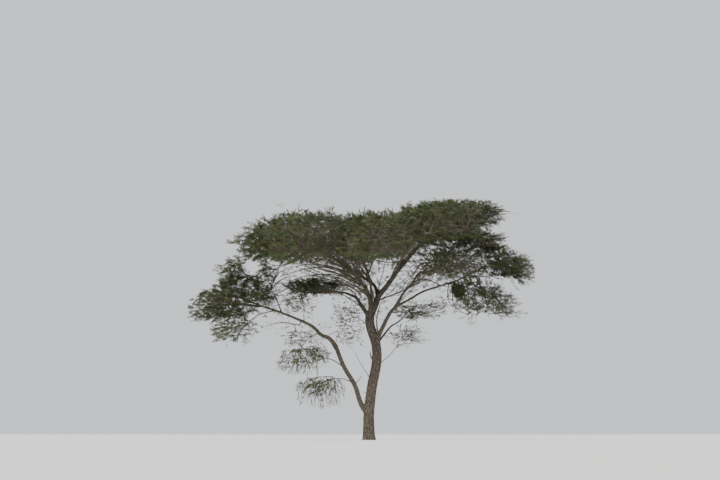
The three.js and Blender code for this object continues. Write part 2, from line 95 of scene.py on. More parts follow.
class NodeMaker:
    def __init__(self, tree):
        self.tree = tree

    def node(self, kind, settings=None, values=None, output=0):  # settings first, then sockets
        made = self.tree.nodes.new(kind)
        for name, setting in (settings or {}).items():
            setattr(made, name, setting)
        for key, value in (values or {}).items():
            self.feed(made.inputs[key], value)
        return Value(self, made.outputs[output])

    def feed(self, entry, value):
        if isinstance(value, Value):
            self.tree.links.new(value.socket, entry)
        else:
            entry.default_value = value

    def blend(self, factor, first, second):  # two colours, through a Mix node
        return self.node("ShaderNodeMix", {"data_type": "RGBA"}, {0: factor, 6: first, 7: second}, 2)

    def random(self, seed):  # between -1 and 1 for each point
        values = {2: -1.0, 3: 1.0, 8: seed}
        return self.node("FunctionNodeRandomValue", {"data_type": "FLOAT"}, values, 1)

    def stored(self, name, kind):  # what storeOnPoints left on the points
        return self.node("GeometryNodeInputNamedAttribute", {"data_type": kind}, {0: name})


def newMaterial(name, roughness):
    material = bpy.data.materials.new(name)
    material.use_nodes = True
    shader = material.node_tree.nodes["Principled BSDF"]
    shader.inputs["Roughness"].default_value = roughness
    return material, NodeMaker(material.node_tree), shader.inputs


def linked(name, data):
    made = bpy.data.objects.new(name, data)
    bpy.context.scene.collection.objects.link(made)
    return made


def newObject(name, points, faces=(), edges=()):
    mesh = bpy.data.meshes.new(name)
    mesh.from_pydata([tuple(p) for p in points], [tuple(e) for e in edges], [tuple(f) for f in faces])
    mesh.update()
    return linked(name, mesh)


def storeOnPoints(made, name, kind, values):
    layer = made.data.attributes.new(name, kind, "POINT")
    layer.data.foreach_set("value" if kind == "FLOAT" else "vector", np.asarray(values, float).ravel())


def newTree(name, inputs):  # a Geometry Nodes tree with one geometry in, one out and named inputs
    tree = bpy.data.node_groups.new(name, "GeometryNodeTree")
    tree.interface.new_socket("Geometry", in_out="INPUT", socket_type="NodeSocketGeometry")
    for label, kind in inputs.items():
        tree.interface.new_socket(label, in_out="INPUT", socket_type="NodeSocket" + kind)
    tree.interface.new_socket("Geometry", in_out="OUTPUT", socket_type="NodeSocketGeometry")
    maker = NodeMaker(tree)
    entry = tree.nodes.new("NodeGroupInput")
    given = {socket.name: Value(maker, socket) for socket in entry.outputs if socket.name}
    return tree, maker, given


def endTree(maker, geometry, material):  # real geometry with its finish on it
    real = maker.node("GeometryNodeRealizeInstances", values={0: geometry})
    done = maker.node("GeometryNodeSetMaterial", values={0: real, 2: material})
    way = maker.tree.nodes.new("NodeGroupOutput")
    maker.tree.links.new(done.socket, way.inputs[0])


def evaluated(made):  # a plain mesh of the object as its modifiers leave it
    reader = bpy.context.evaluated_depsgraph_get()
    return bpy.data.meshes.new_from_object(made.evaluated_get(reader), depsgraph=reader)


def grownFrom(carrier, tree, values, name):  # what the tree makes of a carrier, kept as a plain mesh
    modifier = carrier.modifiers.new(tree.name, "NODES")
    modifier.node_group = tree
    sockets = {item.name: item.identifier for item in tree.interface.items_tree if item.in_out == "INPUT"}
    for label, value in values.items():
        modifier[sockets[label]] = value
    mesh = evaluated(carrier)
    mesh.name = name
    bpy.data.objects.remove(carrier)
    return linked(name, mesh)


def keep(made, nodes):
    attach(made, "root")
    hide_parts(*nodes)
    print(made.name, sum(len(face.vertices) - 2 for face in made.data.polygons), "triangles")


# Limbs: what each grows from, its radii at both ends, and its way.
limbs = {
    "trunk": ([], (0.232, 0.19), [
        (0, 0, 0), (0, 0, 0.67), (0.02, 0.01, 1.21), (0.14, 0.03, 2.21), (0.33, 0.02, 3.21),
        (0.31, 0, 3.96), (0.07, -0.02, 4.75), (0.05, -0.02, 5.29),
    ]),
    "leader": (["trunk"], (0.139, 0.112), [
        (0.05, -0.02, 5.18), (0.21, -0.01, 5.47), (0.34, 0.01, 5.77), (0.41, 0.03, 6.08),
    ]),
    "left_low_bough": (["trunk"], (0.104, 0.088), [
        (-0.06, 0, 1.12), (-0.33, -0.06, 1.54), (-0.58, -0.2, 2.29), (-1.03, -0.33, 3.06),
        (-1.36, -0.42, 3.88),
    ]),
    "left_reach_bough": (["left_low_bough"], (0.088, 0.036), [
        (-1.35, -0.42, 3.86), (-1.62, -0.45, 4.22), (-1.99, -0.48, 4.39), (-2.44, -0.5, 4.79),
        (-3.7, -0.35, 5.33), (-4.4, -0.25, 5.56),
    ]),
    "left_riser": (["left_reach_bough"], (0.03, 0.02), [
        (-3.62, -0.36, 5.3), (-3.82, -0.18, 5.82), (-4.06, 0, 6.27),
    ]),
    "left_droop_bough": (["left_reach_bough"], (0.026, 0.017), [
        (-3.9, -0.33, 5.4), (-4.56, -0.8, 5.21), (-4.9, -1.05, 4.96),
    ]),
    "left_sprig_bough": (["left_reach_bough"], (0.017, 0.012), [
        (-2.66, -0.49, 4.88), (-2.7, -0.5, 5.18), (-2.67, -0.52, 5.4),
    ]),
    "left_underside_bough": (["left_reach_bough"], (0.018, 0.012), [
        (-1.99, -0.48, 4.38), (-2.16, -0.7, 4.4), (-2.33, -0.86, 4.36),
    ]),
    "hanging_upper_bough": (["left_low_bough"], (0.026, 0.017), [
        (-0.99, -0.32, 2.98), (-1.43, -0.47, 3.3), (-1.88, -0.56, 3.43),
    ]),
    "hanging_lower_bough": (["left_low_bough"], (0.024, 0.015), [
        (-0.64, -0.22, 2.38), (-1.06, -0.37, 2.55), (-1.44, -0.5, 2.56),
    ]),
    "bare_shoot": (["trunk"], (0.02, 0.009), [
        (0.18, 0.02, 2.38), (-0.22, -0.12, 3.01), (-0.48, -0.16, 3.46), (-0.58, -0.17, 3.68),
    ]),
    "inner_twig_bough": (["trunk"], (0.02, 0.013), [
        (0.15, 0, 4.65), (-0.18, 0.23, 4.9), (-0.42, 0.38, 5.08),
    ]),
    "right_twig_bough": (["trunk"], (0.018, 0.012), [
        (0.33, 0.02, 3.06), (0.9, 0.22, 3.56), (1.18, 0.33, 3.92),
    ]),
    "shelf_bough": (["trunk", "leader"], (0.088, 0.046), [
        (0.03, -0.01, 5.13), (-0.32, 0.12, 5.62), (-0.53, 0.4, 5.94), (-0.98, 0.9, 6.14),
    ]),
    "left_bough": (["trunk", "leader", "shelf_bough"], (0.092, 0.046), [
        (0.04, -0.02, 5.18), (0.08, -0.08, 5.62), (0, -0.11, 6.02), (-0.23, -0.16, 6.46),
        (-1.03, -0.25, 7.33), (-2.48, -0.3, 7.98),
    ]),
    "left_front_bough": (["left_bough"], (0.058, 0.03), [
        (-0.06, -0.13, 6.18), (-0.44, -0.7, 6.75), (-1.23, -1.5, 7.36), (-1.78, -2, 7.79),
    ]),
    "front_bough": (["left_front_bough"], (0.042, 0.028), [
        (-0.44, -0.7, 6.75), (-0.62, -1.25, 7.12), (-0.45, -1.95, 7.46), (-0.12, -2.64, 7.86),
    ]),
    "back_left_bough": (["leader"], (0.072, 0.034), [
        (0.4, 0.03, 5.99), (0.26, 0.25, 6.4), (-0.03, 0.6, 6.66), (-1.19, 1.7, 7.4), (-1.83, 2.2, 7.89),
    ]),
    "centre_bough": (["back_left_bough"], (0.028, 0.02), [
        (-0.07, 0.64, 6.69), (0.03, 0.7, 7.02), (0.16, 0.56, 7.54),
    ]),
    "back_bough": (["back_left_bough"], (0.04, 0.028), [
        (-0.33, 0.89, 6.85), (-0.52, 1.45, 7.18), (-0.26, 2.1, 7.6), (0.13, 2.75, 8.03),
    ]),
    "right_bough": (["leader", "back_left_bough"], (0.104, 0.058), [
        (0.4, 0.03, 6), (0.78, -0.04, 6.44), (1.31, -0.14, 7.19), (2.01, -0.15, 7.97),
        (3.05, -0.06, 8.9),
    ]),
    "right_front_bough": (["right_bough"], (0.054, 0.034), [
        (1.18, -0.12, 6.99), (1.38, -0.85, 7.55), (2.15, -2.15, 8.58),
    ]),
    "right_back_bough": (["right_bough"], (0.052, 0.034), [
        (1.37, -0.14, 7.26), (1.5, 0.72, 7.8), (2.2, 2.13, 8.62),
    ]),
    "right_inner_bough": (["leader"], (0.032, 0.022), [
        (0.33, 0.01, 5.8), (1.02, 0.45, 6.06), (1.6, 0.9, 6.33), (2.23, 1.5, 6.86),
    ]),
    "right_low_bough": (["trunk"], (0.094, 0.072), [
        (0.29, 0, 4.06), (0.61, -0.25, 4.74), (0.88, -0.42, 5.26), (1.14, -0.52, 5.56),
    ]),
    "right_rising_bough": (["right_low_bough"], (0.058, 0.036), [
        (1.11, -0.51, 5.54), (1.43, -0.65, 6.08), (1.84, -0.8, 6.58), (2.13, -0.87, 6.96),
        (2.6, -0.84, 7.02), (3, -0.83, 7.3), (3.29, -0.86, 7.78),
    ]),
    "right_reach_bough": (["right_low_bough", "right_rising_bough"], (0.054, 0.028), [
        (1.11, -0.51, 5.54), (1.75, -0.48, 5.88), (2.34, -0.42, 6.21), (3.68, -0.25, 6.65),
        (4.87, -0.15, 7.24),
    ]),
    "right_front_low_bough": (["right_rising_bough"], (0.03, 0.022), [
        (2.1, -0.858, 6.93), (2.5, -1.18, 7.02), (2.87, -1.42, 7.19),
    ]),
    "right_under_bough": (["right_reach_bough"], (0.028, 0.018), [
        (2.9, -0.35, 6.41), (3.4, -0.64, 6.5), (3.8, -0.86, 6.43),
    ]),
    "clump_bough": (["right_reach_bough"], (0.024, 0.018), [
        (3.56, -0.26, 6.62), (3.64, -0.26, 6.5), (3.69, -0.25, 6.42),
    ]),
    "right_fan_bough": (["trunk", "right_low_bough"], (0.054, 0.026), [
        (0.29, 0.02, 3.93), (0.88, 0.35, 4.68), (1.17, 0.52, 4.88), (1.47, 0.7, 5.13),
        (1.59, 0.79, 5.4),
    ]),
}
limbs = {name: dict(zip(("on", "radii", "way"), row)) for name, row in limbs.items()}
boughs = [name for name in limbs if name != "trunk"]

flare = {"share": 0.26, "height": 0.33, "lobes": 5, "depth": 0.12}
limbLook = {
    "collar": 0.3,  # how much a limb widens where it leaves its parent
    "voxel": 0.0185,
    "stout": (40, 0.03),  # sides of a tube, and the space between its rings
    "thin": (12, 0.06),
    "marks": 0.08,  # space between the points by which bark and branches find a limb
    "full": 0.2,  # radius of a limb whose bark has its full relief
    "plate": 0.042,  # width of a plate of bark there
    "thinPlate": 0.45,  # share of that width on the thinnest limbs
    "plateLength": 5.0,  # a plate's length in widths
    "crackWidth": 0.45,  # of a plate's width
    "furrow": 0.011,  # depth of the furrows on the trunk
}


def alongWay(way, spacing, least):  # evenly spaced points on a smooth curve, and their distances on it
    points = np.array(way, float)
    padded = np.vstack([2 * points[0] - points[1], points, 2 * points[-1] - points[-2]])
    t = np.linspace(0, 1, 24, endpoint=False)[:, None]
    pieces = []
    for i in range(len(points) - 1):
        before, first, second, after = padded[i : i + 4]
        leave, arrive = (second - before) / 2, (after - first) / 2
        bend = 3 * (second - first) - 2 * leave - arrive
        pieces.append(first + t * leave + t**2 * bend + t**3 * (2 * (first - second) + leave + arrive))
    fine = np.vstack(pieces + [points[-1:]])
    lengths = np.r_[0, np.cumsum(np.linalg.norm(np.diff(fine, axis=0), axis=1))]
    wanted = np.linspace(0, lengths[-1], max(least, round(lengths[-1] / spacing)))
    return np.stack([np.interp(wanted, lengths, fine[:, k]) for k in range(3)], axis=1), wanted


def framesAlong(points):  # tangents and two side directions that don't twist
    tangents = np.gradient(points, axis=0)
    tangents /= np.linalg.norm(tangents, axis=1)[:, None]
    side = np.cross(tangents[0], (0.0, 1.0, 0.0))
    sides = []
    for tangent in tangents:
        side = side - tangent * side.dot(tangent)
        side /= np.linalg.norm(side)
        sides.append(side)
    sides = np.array(sides)
    return tangents, sides, np.cross(tangents, sides)


def radiusAlong(name, distance, length, angle=0.0):
    first, last = limbs[name]["radii"]
    radius = first + (last - first) * distance / length
    if name == "trunk":
        fade = np.exp(-distance / flare["height"])
        lobes = 1 - flare["depth"] * np.cos(flare["lobes"] * angle) * fade
        return radius * (1 + flare["share"] * fade) * lobes
    return radius + limbLook["collar"] * first * np.exp(-distance / (3 * first))


def sweptLimb(name, sides, spacing):  # vertices and faces of a closed tube
    points, distances = alongWay(limbs[name]["way"], spacing, 5)
    count = len(points)
    _, across, over = framesAlong(points)
    angles = np.linspace(0, 2 * math.pi, sides, endpoint=False)
    rings = []
    for i in range(count):
        radius = radiusAlong(name, distances[i], distances[-1], angles)
        sideways, upwards = np.cos(angles) * radius, np.sin(angles) * radius
        rings.append(points[i] + np.outer(sideways, across[i]) + np.outer(upwards, over[i]))
    vertices = np.vstack(rings + [points[:1], points[-1:]])
    if name == "trunk":
        vertices[:sides, 2] = 0
    last = (count - 1) * sides
    pairs = [(j, (j + 1) % sides) for j in range(sides)]
    faces = [
        (ring + j, ring + k, ring + sides + k, ring + sides + j)
        for ring in range(0, last, sides)
        for j, k in pairs
    ]
    for j, k in pairs:
        faces.append((count * sides, k, j))
        faces.append((count * sides + 1, last + j, last + k))
    return vertices, faces


def joined(parts):  # several vertex and face lists as one
    vertices, faces, start = [], [], 0
    for points, polygons in parts:
        vertices.append(points)
        faces += [tuple(start + i for i in polygon) for polygon in polygons]
        start += len(points)
    return np.vstack(vertices), faces


limbMarks = {}
for name, limb in limbs.items():
    points, distances = alongWay(limb["way"], limbLook["marks"], 4)
    tangents, across, over = framesAlong(points)
    limbMarks[name] = {
        "points": points, "tangents": tangents, "across": across, "over": over, "distances": distances,
        "share": distances / distances[-1], "radii": radiusAlong(name, distances, distances[-1]),
        "names": [name] * len(points),
    }


def marksOf(names):  # the marks of several limbs together
    return {key: np.concatenate([limbMarks[n][key] for n in names]) for key in limbMarks["trunk"]}


def barkPlaces(vertices, names):  # across and along each vertex's nearest limb, with its radius
    marks = marksOf(names)
    nearest = np.empty(len(vertices), int)
    for start in range(0, len(vertices), 4000):
        block = vertices[start : start + 4000]
        gaps = np.linalg.norm(block[:, None] - marks["points"][None], axis=2) / marks["radii"]
        nearest[start : start + 4000] = gaps.argmin(axis=1)
    near = {key: values[nearest] for key, values in marks.items()}
    offset = vertices - near["points"]
    x, y, s = ((offset * near[key]).sum(axis=1) for key in ("across", "over", "tangents"))
    return np.stack([x, y, near["distances"] + s], axis=1), near["radii"]


def readVectors(mesh, kind):
    values = np.empty(len(mesh.vertices) * 3)
    mesh.vertices.foreach_get(kind, values)
    return values.reshape(-1, 3)


def addBark(made, names):  # moves the surface in at the furrows and keeps their pattern for the colour, where painted shade darkens the furrows
    vertices, normals = readVectors(made.data, "co"), readVectors(made.data, "normal")
    places, radii = barkPlaces(vertices, names)
    stoutness = np.minimum(1.0, radii / limbLook["full"])
    thinPlate = limbLook["thinPlate"]
    widths = limbLook["plate"] * (thinPlate + (1 - thinPlate) * stoutness)
    ridges = np.empty(len(vertices))
    for i, ((x, y, s), width) in enumerate(zip(places, widths)):
        wander = noise.noise((x * 6, y * 6, s * 3)) * 0.9
        spot = Vector((x / width + wander, y / width + wander, s / width / limbLook["plateLength"]))
        near, _ = noise.voronoi(spot)
        edge = min(1.0, (near[1] - near[0]) / limbLook["crackWidth"])
        ridges[i] = edge * (1.8 - 0.8 * edge) * (0.8 + 0.2 * noise.noise(spot * 4))
    depth = limbLook["furrow"] * stoutness * np.clip(vertices[:, 2] / 0.05, 0, 1)
    vertices += normals * (depth * (ridges - 0.75))[:, None]
    vertices[vertices[:, 2] < 0.004, 2] = 0
    made.data.vertices.foreach_set("co", vertices.ravel())
    storeOnPoints(made, "ridge", "FLOAT", ridges)
    made.data.update()


barkLook = {
    # the near-black colour of the furrows: the dark bark in them, with painted shade added
    "crackAndShade": (0.014, 0.010, 0.008, 1),
    "ridge": (0.105, 0.08, 0.058, 1),
    "weathered": (0.19, 0.16, 0.125, 1),
    "roughness": 0.88,
    "grain": 70,
    "stretch": (1, 1, 0.35),  # the grain runs along the trunk
    "patch": 2.6,
    "grainDepth": 0.003,
}


def barkMaterial(name, furrowed):
    material, maker, entries = newMaterial(name, barkLook["roughness"])
    place = maker.node("ShaderNodeTexCoord", output="Object")
    long = maker.node("ShaderNodeMapping", values={"Vector": place, "Scale": barkLook["stretch"]})
    grain = maker.node("ShaderNodeTexNoise", values={
        "Vector": long, "Scale": barkLook["grain"], "Detail": 6,
    })
    patch = maker.node("ShaderNodeTexNoise", values={
        "Vector": place, "Scale": barkLook["patch"], "Detail": 3,
    })
    if furrowed:
        height = maker.node("ShaderNodeAttribute", {"attribute_name": "ridge"}, output="Fac")
    else:
        height = 0.35 + 0.8 * grain
    # painted shade: where the ridge pattern is low, in the furrows, the colour goes towards near black; on
    # young bark the grain alone sets it
    shade = maker.blend(height * (0.55 + 0.9 * grain), barkLook["crackAndShade"], barkLook["ridge"])
    maker.feed(entries["Base Color"], maker.blend(height * patch * 0.75, shade, barkLook["weathered"]))
    maker.feed(entries["Roughness"], 0.78 + 0.2 * grain)
    maker.feed(entries["Normal"], maker.node("ShaderNodeBump", values={
        "Strength": 0.6, "Distance": barkLook["grainDepth"], "Height": grain,
    }))
    return material


stoutLimbs = [
    "trunk", "leader", "left_low_bough", "left_reach_bough", "right_low_bough", "right_reach_bough",
    "right_rising_bough", "right_fan_bough", "left_bough", "shelf_bough", "right_bough", "back_left_bough",
]
thinLimbs = [name for name in limbs if name not in stoutLimbs]
furrowedBark = barkMaterial("furrowedBark", True)
youngBark = barkMaterial("youngBark", False)

stoutTubes = joined([sweptLimb(n, *limbLook["stout"]) for n in stoutLimbs])
trunkAndLimbs = newObject("trunk_and_limbs", *stoutTubes)
remesh = trunkAndLimbs.modifiers.new("union", "REMESH")
remesh.mode = "VOXEL"
remesh.voxel_size = limbLook["voxel"]
remesh.use_smooth_shade = True
smooth = trunkAndLimbs.modifiers.new("blend", "SMOOTH")
smooth.factor = 0.5
smooth.iterations = 3
blended = evaluated(trunkAndLimbs)
trunkAndLimbs.modifiers.clear()
trunkAndLimbs.data = blended
addBark(trunkAndLimbs, stoutLimbs)
blended.materials.append(furrowedBark)
keep(trunkAndLimbs, stoutLimbs)

smallBoughs = newObject("small_boughs", *joined([sweptLimb(n, *limbLook["thin"]) for n in thinLimbs]))
smallBoughs.data.materials.append(youngBark)
smallBoughs.data.shade_smooth()
keep(smallBoughs, thinLimbs)
print("limbs done")

# Masses of foliage: the bough that each grows on, its space, and what it grows: places that branches
# lead to, ribs that rise to it from its boughs, leaves on a shoot inside and outside its space, side
# twigs along its bough, the share of its shoots that hang, main branches given one by one, and, as
# (x, z, half width, half height), dense hearts and clearings.
usual = {
    "under": 1,  # share of its half height that a space keeps below its middle
    "power": 3,  # of the outline's curve
    "tips": [], "ribs": 0, "leaves": 8, "bareLeaves": 2, "sideTwigs": 0, "weeping": 0, "hearts": [],
    "clearings": [], "spines": [],
}


def massOn(bough, at, half, slope=(0, 0), **more):
    space = {"on": bough, "at": np.array(at), "half": np.array(half), "slope": np.array(slope)}
    return {**usual, **space, **more}


fan = (-1.35, 7.28, 1.5, 0.42)  # left of the fork, the sky shows through a fan of branches
masses = {
    "crown_centre": massOn(
        "centre_bough", (0.45, 0.1, 8.5), (2.75, 2.6, 1.08), (0.06, 0), tips=[(1.56, 0.3, 9.88)],
        places=1600, ribs=24, bareLeaves=6, clearings=[fan],
        spines=[
            [(0.4, 0.5, 7.5), (0.8, 0.4, 7.4), (1.3, 0.3, 7.42)],
            [(0.3, 0.3, 7.5), (0.6, -0.1, 7.42), (1.1, -0.4, 7.38)],
        ],
    ),
    "crown_left": massOn(
        "left_bough", (-3.88, -0.35, 8.44), (1.82, 2, 0.98), (0.3, 0), power=2.6,
        tips=[(-3.56, -0.3, 9.69), (-5.69, -0.35, 8.14)], places=1300, ribs=20, bareLeaves=4,
        hearts=[(-4.1, 8.2, 0.8, 0.6)], clearings=[fan],
        spines=[
            [(-0.5, -0.2, 6.35), (-1.1, -0.3, 6.7), (-2, -0.4, 6.95), (-2.7, -0.5, 7.3)],
            [(-0.45, 0.1, 6.5), (-1.1, 0.3, 6.88), (-1.9, 0.4, 7.15), (-2.6, 0.5, 7.5)],
            [(-0.6, -0.5, 6.68), (-1.3, -0.7, 7.05), (-2.1, -0.9, 7.25), (-2.9, -1.1, 7.6)],
            [
                (-0.35, -0.35, 6.15), (-0.9, -0.5, 6.5), (-1.6, -0.6, 6.78), (-2.35, -0.7, 6.98),
                (-3, -0.8, 7.2),
            ],
            [(-0.3, 0.1, 6.05), (-0.8, 0.3, 6.4), (-1.4, 0.5, 6.62), (-2.1, 0.6, 6.8), (-2.8, 0.6, 7)],
            [(-0.9, -0.1, 7.1), (-1.6, 0, 7.4), (-2.4, 0.1, 7.62), (-3.3, 0.1, 7.8)],
            [
                (-0.5, -0.3, 6.6), (-1.3, -0.4, 6.86), (-2.2, -0.5, 6.88), (-2.9, -0.5, 6.75),
                (-3.5, -0.5, 6.5),
            ],
            [(-0.7, 0.1, 6.95), (-1.6, 0.3, 7.2), (-2.5, 0.4, 7.15), (-3.2, 0.4, 6.98), (-3.7, 0.3, 6.8)],
            [(-0.8, -0.7, 6.95), (-1.7, -0.9, 7.25), (-2.6, -1, 7.28), (-3.4, -1, 7.15)],
            [(-3, -0.3, 7.5), (-3.5, -0.3, 7.3), (-4, -0.3, 7.25)],
            [(-3.1, 0.2, 7.45), (-3.6, 0.3, 7.25), (-3.9, 0.3, 7.15)],
        ],
    ),
    "crown_left_front": massOn(
        "left_front_bough", (-2.45, -3.15, 8.42), (1.9, 1.8, 1.06), (0.12, 0.12), places=980, ribs=16,
        clearings=[fan],
        spines=[
            [(-0.7, -0.9, 6.8), (-1.3, -1.2, 7.1), (-2, -1.5, 7.3), (-2.7, -1.9, 7.6)],
            [(-0.6, -0.8, 6.6), (-1.1, -1.1, 6.85), (-1.8, -1.3, 7.05), (-2.5, -1.5, 7.3)],
        ],
    ),
    "crown_front": massOn(
        "front_bough", (0.4, -4.1, 8.44), (1.8, 1.8, 0.95), (0.05, 0.14), places=950, ribs=14,
        clearings=[fan],
    ),
    "crown_right_front": massOn(
        "right_front_bough", (2.95, -2.95, 9.08), (1.85, 1.75, 0.85), (0.05, 0.1), places=880, ribs=10,
    ),
    "crown_right": massOn(
        "right_bough", (3.85, -0.05, 9.34), (1.7, 1.75, 0.64), (0.02, 0),
        tips=[(2.5, -0.06, 10.08), (5.96, -0.05, 9.45)], places=1100, ribs=10,
        hearts=[(4.9, 9.35, 0.55, 0.45)],
    ),
    "crown_right_back": massOn(
        "right_back_bough", (2.9, 3, 9.1), (1.85, 1.75, 0.83), (0.05, -0.1), places=880, ribs=10,
    ),
    "crown_back": massOn(
        "back_bough", (0.2, 4.15, 8.56), (1.8, 1.8, 0.93), (0.04, -0.12), places=950, ribs=14,
        clearings=[fan],
    ),
    "crown_left_back": massOn(
        "back_left_bough", (-2.65, 3.05, 8.48), (1.9, 1.75, 1.02), (0.1, -0.12), places=980, ribs=16,
        clearings=[fan],
        spines=[
            [(-0.5, 1, 6.95), (-1.1, 1.3, 7.1), (-1.8, 1.5, 7.25), (-2.6, 1.8, 7.5)],
            [(-0.4, 0.8, 6.7), (-0.9, 1, 6.85), (-1.6, 1.3, 7), (-2.4, 1.5, 7.25)],
        ],
    ),
    "right_second_tier": massOn(
        "right_rising_bough", (4.05, -0.95, 8.3), (1.65, 1.35, 0.4), (-0.02, 0), places=760, ribs=4,
        sideTwigs=10, hearts=[(4.6, 8.25, 0.9, 0.35)],
    ),
    "right_shelf": massOn(
        "right_reach_bough", (5.7, -0.15, 7.43), (1.25, 1.3, 0.6), (-0.42, 0),
        tips=[(6.95, -0.15, 6.84), (5.98, -0.3, 6.5)], places=900, ribs=4, bareLeaves=4, sideTwigs=16,
        hearts=[(5.9, 7.15, 0.7, 0.45), (5.2, 6.98, 0.6, 0.2)],
        spines=[
            [(4.9, -0.2, 7), (5.2, -0.25, 6.78), (5.6, -0.3, 6.7)],
            [(4.8, 0.2, 7.1), (5.1, 0.3, 6.85), (5.4, 0.4, 6.72)],
        ],
    ),
    "right_front_net": massOn(
        "right_front_low_bough", (3.75, -1.9, 7.33), (1.25, 1, 0.62), (0, 0.1), places=560, ribs=6,
        leaves=4, hearts=[(4.4, 6.95, 0.45, 0.35)],
    ),
    "right_back_net": massOn(
        "right_inner_bough", (3.25, 2.25, 7.42), (1.3, 1, 0.56), (0, -0.1), places=540, ribs=6,
        leaves=4,
    ),
    "right_under": massOn(
        "right_under_bough", (4.78, -0.75, 5.93), (1.45, 1.05, 0.72), (-0.3, 0), places=780, leaves=5,
        bareLeaves=4, sideTwigs=24, clearings=[(5.95, 6.3, 0.5, 0.4)],
        hearts=[
            (4.95, 6.15, 0.45, 0.28), (5.35, 5.85, 0.45, 0.28), (5.8, 5.5, 0.5, 0.28),
            (3.75, 6.52, 0.6, 0.18), (4.35, 5.5, 0.35, 0.3),
        ],
        spines=[
            [(4.39, -0.3, 6.45), (5.1, -0.4, 6.11), (5.59, -0.5, 5.6), (6.15, -0.6, 5.3)],
            [(3.6, -0.8, 6.1), (3.75, -0.9, 5.6), (4.2, -1, 5.35)],
            [(3.3, -0.7, 6.35), (3.3, -0.8, 5.9), (3.5, -0.9, 5.5)],
            [(4, -0.5, 5.9), (4.05, -0.6, 5.4), (4.5, -0.8, 5.2)],
            [(4.4, -0.6, 6.2), (4.45, -0.8, 5.7), (4.8, -0.9, 5.3)],
            [(4.8, -0.3, 6.1), (4.95, -0.3, 5.6), (5.3, -0.4, 5.25)],
            [(3.5, -0.5, 6.2), (3.5, -0.5, 5.75), (3.75, -0.5, 5.4), (4.1, -0.5, 5.25)],
            [(3.9, -0.3, 6.1), (3.8, -0.3, 5.7), (3.9, -0.3, 5.4)],
            [(4.1, -0.6, 6.2), (4.2, -0.6, 5.8), (4.3, -0.6, 5.4)],
            [(2.8, -0.4, 6.5), (3.1, -0.5, 6.42), (3.4, -0.6, 6.35)],
        ],
    ),
    "left_shelf": massOn(
        "left_reach_bough", (-5.65, -0.15, 5.8), (1.9, 1.45, 0.9), (0.22, 0), under=0.85, power=2.3,
        tips=[(-7.56, -0.15, 5.29), (-7.27, -0.25, 5.83), (-7.14, -0.3, 4.93)], places=1250,
        sideTwigs=30,
        hearts=[(-5.85, 5.88, 0.95, 0.42), (-4.35, 5.98, 0.55, 0.35), (-5.8, 5.28, 1.2, 0.25)],
        clearings=[(-7.5, 6.5, 0.95, 0.65), (-7.4, 4.6, 0.85, 0.5)],
        spines=[
            [(-5.2, -0.2, 5.65), (-6.3, -0.2, 5.6), (-7.1, -0.15, 5.4)],
            [(-4.9, 0.1, 5.75), (-5.6, 0.5, 6), (-6.3, 0.7, 6.05)],
            [(-5, -0.6, 5.6), (-5.7, -0.9, 5.75), (-6.4, -1.1, 5.7)],
        ],
    ),
    "left_spur": massOn(
        "left_riser", (-5.05, 0.25, 6.95), (1.2, 1, 0.65), places=540, leaves=5, bareLeaves=5,
        sideTwigs=80, clearings=[(-4.86, 7.22, 0.42, 0.36)],
        spines=[
            [(-4.05, 0.05, 6.6), (-3.95, 0, 7), (-3.9, -0.1, 7.3)],
            [(-4, 0.1, 6.5), (-3.8, 0.15, 6.9), (-3.7, 0.1, 7.3)],
            [(-4.1, -0.1, 6.5), (-3.9, -0.2, 6.8), (-3.8, -0.25, 7.1), (-3.6, -0.25, 7.35)],
            [(-4.6, 0.15, 6.6), (-5.2, 0.3, 6.95), (-5.7, 0.3, 7.3)],
            [(-3.9, 0.05, 6.5), (-3.5, 0.1, 6.75), (-3.1, 0.2, 6.85)],
            [(-3.8, -0.1, 6.1), (-3.4, -0.2, 6.3), (-3.05, -0.3, 6.5)],
            [(-3.9, 0.1, 6.8), (-3.6, 0, 7.05), (-3.2, -0.1, 7.15)],
        ],
    ),
    "left_droop": massOn(
        "left_droop_bough", (-5.5, -1.25, 4.62), (0.83, 0.7, 0.46), (0.1, 0),
        tips=[(-6.2, -1.25, 4.21), (-5.78, -1.4, 4.06)], places=260, leaves=6,
    ),
    "left_sprig": massOn(
        "left_sprig_bough", (-2.85, -0.56, 5.68), (0.54, 0.48, 0.4), places=110, leaves=4,
    ),
    "left_underside": massOn(
        "left_underside_bough", (-2.75, -1.1, 4.31), (0.72, 0.56, 0.33), places=120, leaves=2,
        sideTwigs=4,
        spines=[[(-2.9, -0.6, 4.78), (-3.6, -0.75, 4.9), (-4.3, -0.85, 4.72)]],
    ),
    "hanging_upper": massOn(
        "hanging_upper_bough", (-2.68, -0.65, 3.52), (1.12, 0.76, 0.48), (0.08, 0), places=330,
        leaves=3, weeping=0.35,
        hearts=[(-2.76, 3.37, 0.25, 0.16), (-2.4, 3.76, 0.28, 0.16), (-2.05, 3.5, 0.3, 0.16)],
        spines=[[(-1.7, -0.55, 3.62), (-2.4, -0.6, 3.78), (-3.1, -0.65, 3.7)]],
    ),
    "hanging_lower": massOn(
        "hanging_lower_bough", (-1.96, -0.6, 2.24), (1.08, 0.76, 0.56), places=300, leaves=3,
        weeping=0.9, hearts=[(-1.5, 2.45, 0.3, 0.14), (-2, 2.3, 0.35, 0.2)],
    ),
    "inner_twigs": massOn(
        "inner_twig_bough", (-0.78, 0.62, 4.85), (0.62, 0.56, 0.9), places=170, leaves=2,
    ),
    "right_low_twigs": massOn(
        "right_twig_bough", (1.56, 0.46, 4.29), (0.68, 0.52, 0.42), (0.1, 0), places=140, leaves=3,
        hearts=[(1.6, 4.3, 0.3, 0.16)],
    ),
    "right_fan": massOn(
        "right_fan_bough", (2.2, 0.95, 5.4), (1.02, 0.7, 0.34), (0.08, 0), places=250, leaves=5,
        hearts=[(1.9, 5.3, 0.6, 0.14)],
    ),
    "inner_shelf": massOn(
        "shelf_bough", (-2.13, 1.45, 6.29), (1.32, 0.95, 0.43), under=0.4, power=2.1, places=560,
        ribs=2,
        spines=[
